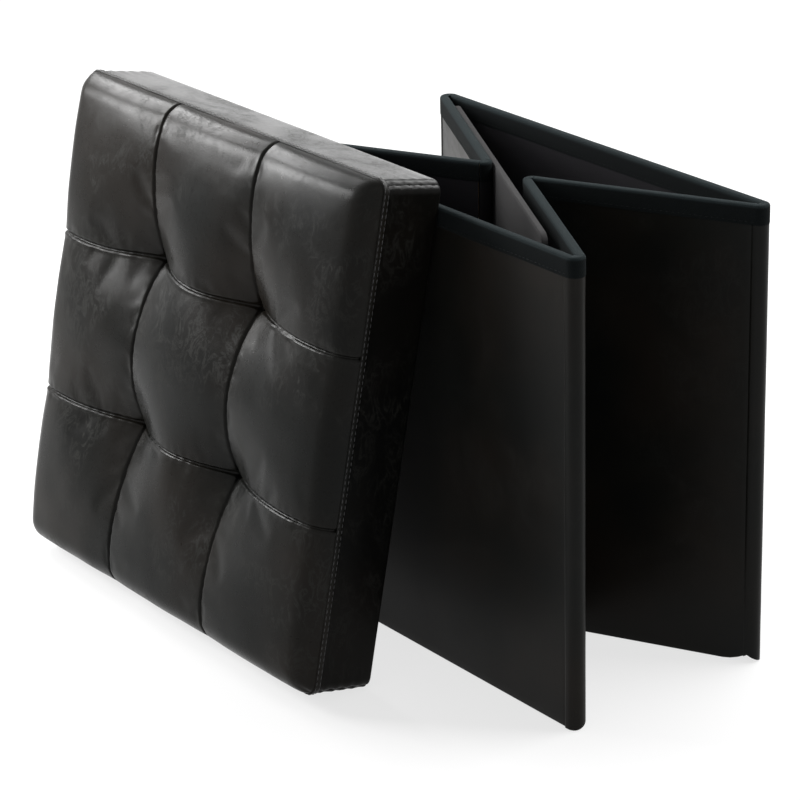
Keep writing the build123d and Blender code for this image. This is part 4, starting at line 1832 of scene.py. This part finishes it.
    def build_tape(self) -> bpy.types.Object:
        """The raised lap where the cushion's cover is sewn to the bands."""
        mid = self.tape_mid
        section = []
        for i in range(9):
            a = math.pi * i / 8
            rise = self.tape_rise * math.sin(a) ** 0.6
            section.append((-self.tape_off - rise, mid + self.tape_half * math.cos(a)))
        section += [(0.25 * MM, mid + way * self.tape_half) for way in (-1, 1)]
        verts, uvs, rows = [], [], []
        for k, (inset, z) in enumerate(section):
            first = len(verts)
            for i, (x, y) in enumerate(self.ring(inset)):
                verts.append((x, y, z + 0.15 * MM * ripple(Vector((x, y, 0)), 25.0, 1.0)))
                uvs.append((i * 5 * MM, k * MM))
            rows.append(range(first, len(verts)))
        faces = []
        for a, b in zip(rows, rows[1:] + rows[:1]):
            ends = [(i, (i + 1) % len(a)) for i in range(len(a))]
            faces += [(a[i], b[i], b[n], a[n]) for i, n in ends]
        return outwards(mesh_object("lid_seam_lap", np.array(verts), faces, np.array(uvs)))

    def ring(self, inset: float) -> list[tuple[float, float]]:
        """The lid's whole outline in plan, without its last point."""
        return [(x, y) for run in self.outline(inset) for x, y, _ in run[:-1]]

    def seam_lines(self) -> list[Array]:
        """Two rows of stitches round the lap."""
        rows = []
        for drop in (-0.62, 0.62):
            ring = self.ring(-self.tape_rise - 0.08 * MM)
            line = [(x, y, self.tape_mid + drop * self.tape_half) for x, y in ring]
            rows.append(np.array(line + line[:1]))
        return rows

    def build_hollow_cloth(self) -> bpy.types.Object:
        """The cloth glued into the hollow under the lid."""
        half, depth = self.hollow_half, self.hollow_h - self.rim_h
        path = face_path(2 * half, 7 * MM, 3.5 * MM, depth, True)

        def point(up: tuple[float, float], along: tuple[float, float]) -> Spot:
            """A point of the cloth, from its places up and along the hollow, as (place, depth)."""
            (y, dy), (x, dx) = up, along
            deep = max(dx, dy)
            flat = deep < 0.1 * MM
            wave = 0.25 * MM * ripple(Vector((x, y, 0.0)), 18.0, 7.0) if flat else 0.0
            return (x - half, y - half, self.hollow_h - deep + wave), (x + dx, y + dy)

        return thicken(weld(sheet("lid_hollow_cloth", path, path, point, flip=True)), CLOTH_T)

    def staple_lines(self) -> list[Array]:
        """Lines from the first to the last staple of each side, in the lid's own axes."""
        row = self.hollow_half - 8 * MM
        first = row * (1 - 1 / 6)
        lines = []
        for k in range(4):
            turn = Matrix.Rotation(QUARTER_TURN * k, 3, "Z")
            height = self.hollow_h - 0.35 * MM
            ends = [turn @ Vector((x, -row, height)) for x in (-first, first)]
            lines.append(np.array([tuple(e) for e in ends]))
        return lines

    def build(self, finishes: Finishes) -> None:
        """Makes and dresses every piece of the lid that shows."""
        cushion = self.build_cushion()
        tree = StitchTree("lap_stitches", 4.6 * MM, 3.6 * MM, 0.6 * MM)
        sewing = tree.grow(line_mesh("lid_seam_stitches", self.seam_lines()), finishes.thread)
        tree = StapleTree("staples", 6, 10 * MM, 3 * MM, 0.8 * MM, (0.0, 0.0, 1.0))
        staples = tree.grow(line_mesh("lid_wire_staples", self.staple_lines()), finishes.steel)
        jobs = [
            (cushion, finishes.cushion, Slot.CUSHION, ("lid_cushion",)),
            (self.build_tape(), finishes.panel, Slot.LEATHER, ("lid_seam_tape",)),
            (sewing, finishes.thread, Slot.TWINE, ()),
            (self.build_hollow_cloth(), finishes.lining, Slot.LINING, ("lid_lining",)),
            (staples, finishes.steel, Slot.STEEL, ("lid_staples",)),
            (self.build_foam(), finishes.foam, Slot.FOAM, ("lid_foam",)),
            (self.build_ties(), finishes.thread, Slot.TWINE, ("lid_tuft_ties",)),
        ]
        for band in self.build_bands():
            node = band.name.replace("boxing", "band")
            # the bands get the darker copy of the leather, which paints shade on them
            jobs.append((band, finishes.boxing, Slot.LEATHER, (node,)))
        for obj, finish, slot, nodes in jobs:
            obj.data.transform(self.place)
            dress(obj, finish, slot, "lid", *nodes)


class InnerPieces:
    """CAD pieces whose shape is already right, given their finishes."""

    def __init__(self, finishes: Finishes) -> None:
        """Sorts the pieces by finish."""
        boards = ["front_core", "back_core", "floor_core", "lid_panel"]
        boards += [f"lid_skirt_{side}" for side in ("foot", "right", "head", "left")]
        self.groups = (
            (boards, finishes.board),
            (["lid_tuft_washers"], finishes.steel),
        )

    def build(self) -> None:
        """Assigns each finish."""
        for names, finish in self.groups:
            for name in names:
                data = frame["nodes"][name].data
                if len(data.materials) == 0:
                    data.materials.append(finish)
                for i in range(len(data.materials)):
                    data.materials[i] = finish
                LOG.info("piece %s keeps its CAD shape, finish %s", name, finish.name)


@dataclass
class Studio:
    """The camera, the pale floor and the lights."""

    camera_at: tuple[float, float, float] = (1.73416, -1.30476, 1.06524)
    azimuth: float = math.radians(-53.337)
    elevation: float = math.radians(-21.796)
    roll: float = math.radians(-1.348)
    lens: float = 144.195
    white: Colour = (1.0, 1.0, 1.0, 1.0)
    floor_colour: Colour = (0.86, 0.86, 0.86, 1.0)
    floor_glow: float = 0.72
    floor_reach: float = 12.0
    floor_low: float = -0.0005
    world_light: float = 0.40
    middle: tuple[float, float, float] = (-0.15, 0.0, 0.22)

    def build_camera(self) -> None:
        """Puts the camera where the photograph was taken."""
        az, el, r = self.azimuth, self.elevation, self.roll
        ahead = Vector((math.sin(az) * math.cos(el), math.cos(az) * math.cos(el), math.sin(el)))
        right = Vector((math.cos(az), -math.sin(az), 0.0))
        up = right.cross(ahead)
        level, upright = right, up
        right = level * math.cos(r) + upright * math.sin(r)
        up = upright * math.cos(r) - level * math.sin(r)
        data = bpy.data.cameras.new("camera")
        data.sensor_width = 36.0
        data.lens = self.lens
        data.clip_start, data.clip_end = 0.05, 60.0
        cam = bpy.data.objects.new("camera", data)
        turn = Matrix((right, up, -ahead)).transposed().to_4x4()
        cam.matrix_world = Matrix.Translation(self.camera_at) @ turn
        bpy.context.scene.collection.objects.link(cam)
        bpy.context.scene.camera = cam

    def seen(self, shader: Shader) -> Signal:
        """1 for what the camera, mirrors and glass see, else 0."""
        path = shader.node("ShaderNodeLightPath")
        straight = shader.out(path, "Is Camera Ray") + shader.out(path, "Is Glossy Ray")
        return shader.span(straight + shader.out(path, "Is Transmission Ray"), 0.0, 1.0)

    def build_floor(self) -> None:
        """A pale floor that keeps a soft shadow."""
        sh = Shader("pale_floor")
        plain = sh.node("ShaderNodeBsdfDiffuse", None, {"Color": self.floor_colour})
        glow = sh.node("ShaderNodeEmission", None, {"Color": self.white, "Strength": 1.0})
        blend = {0: self.seen(sh) * self.floor_glow, 1: sh.out(plain), 2: sh.out(glow)}
        mix = sh.node("ShaderNodeMixShader", None, blend)
        sh.node("ShaderNodeOutputMaterial", None, {"Surface": sh.out(mix)})
        mesh = bpy.data.meshes.new("floor")
        sides = ((-1, -1), (1, -1), (1, 1), (-1, 1))
        corners = [(x * self.floor_reach, y * self.floor_reach, self.floor_low) for x, y in sides]
        mesh.from_pydata(corners, [], [(0, 1, 2, 3)])
        mesh.materials.append(sh.owner)
        link("studio_floor", mesh)

    def build_world(self) -> None:
        """White surroundings, gentler as light than as background."""
        world = bpy.data.worlds.new("studio")
        bpy.context.scene.world = world
        sh = Shader("studio", world)
        glows = []
        for strength in (self.world_light, 1.0):
            values = {"Color": self.white, "Strength": strength}
            glows.append(sh.out(sh.node("ShaderNodeBackground", None, values)))
        mix = sh.node("ShaderNodeMixShader", None, {0: self.seen(sh), 1: glows[0], 2: glows[1]})
        sh.node("ShaderNodeOutputWorld", None, {"Surface": sh.out(mix)})

    def lamp(self, name: str, at: tuple, size: tuple, power: float) -> None:
        """One soft rectangular lamp that points at the middle of the ottoman.

        Args:
            name: of the lamp.
            at: where it stands.
            size: its width and height.
            power: in watts.
        """
        data = bpy.data.lights.new(name, "AREA")
        data.shape = "RECTANGLE"
        data.size, data.size_y = size
        data.energy = power
        obj = bpy.data.objects.new(name, data)
        way = Vector(self.middle) - Vector(at)
        turn = way.to_track_quat("-Z", "Y").to_matrix().to_4x4()
        obj.matrix_world = Matrix.Translation(at) @ turn
        obj.visible_camera = False
        bpy.context.scene.collection.objects.link(obj)

    def build(self) -> None:
        """Sets the whole studio up."""
        bpy.context.scene.view_settings.view_transform = "Standard"
        self.build_camera()
        self.build_floor()
        self.build_world()
        self.lamp("front_softbox", (-1.20, -0.80, 0.79), (0.52, 0.56), 28.0)
        self.lamp("left_softbox", (-1.217, -0.08, 1.07), (0.75, 0.28), 16.0)
        self.lamp("back_softbox", (0.20, 1.88, 1.88), (3.2, 0.7), 100.0)
        self.lamp("rim_softbox", (-1.50, 1.30, 0.45), (1.0, 0.6), 4.0)


def main() -> None:
    """Builds the ottoman and its studio."""
    logging.basicConfig(level=logging.INFO, format="%(message)s")
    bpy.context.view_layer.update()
    Studio().build()
    finishes = Finishes()
    Box(SIZES).build(finishes)
    FloorBoard().build(finishes)
    Lid().build(finishes)
    InnerPieces(finishes).build()
    bpy.context.view_layer.update()


if __name__ == "__main__":
    main()
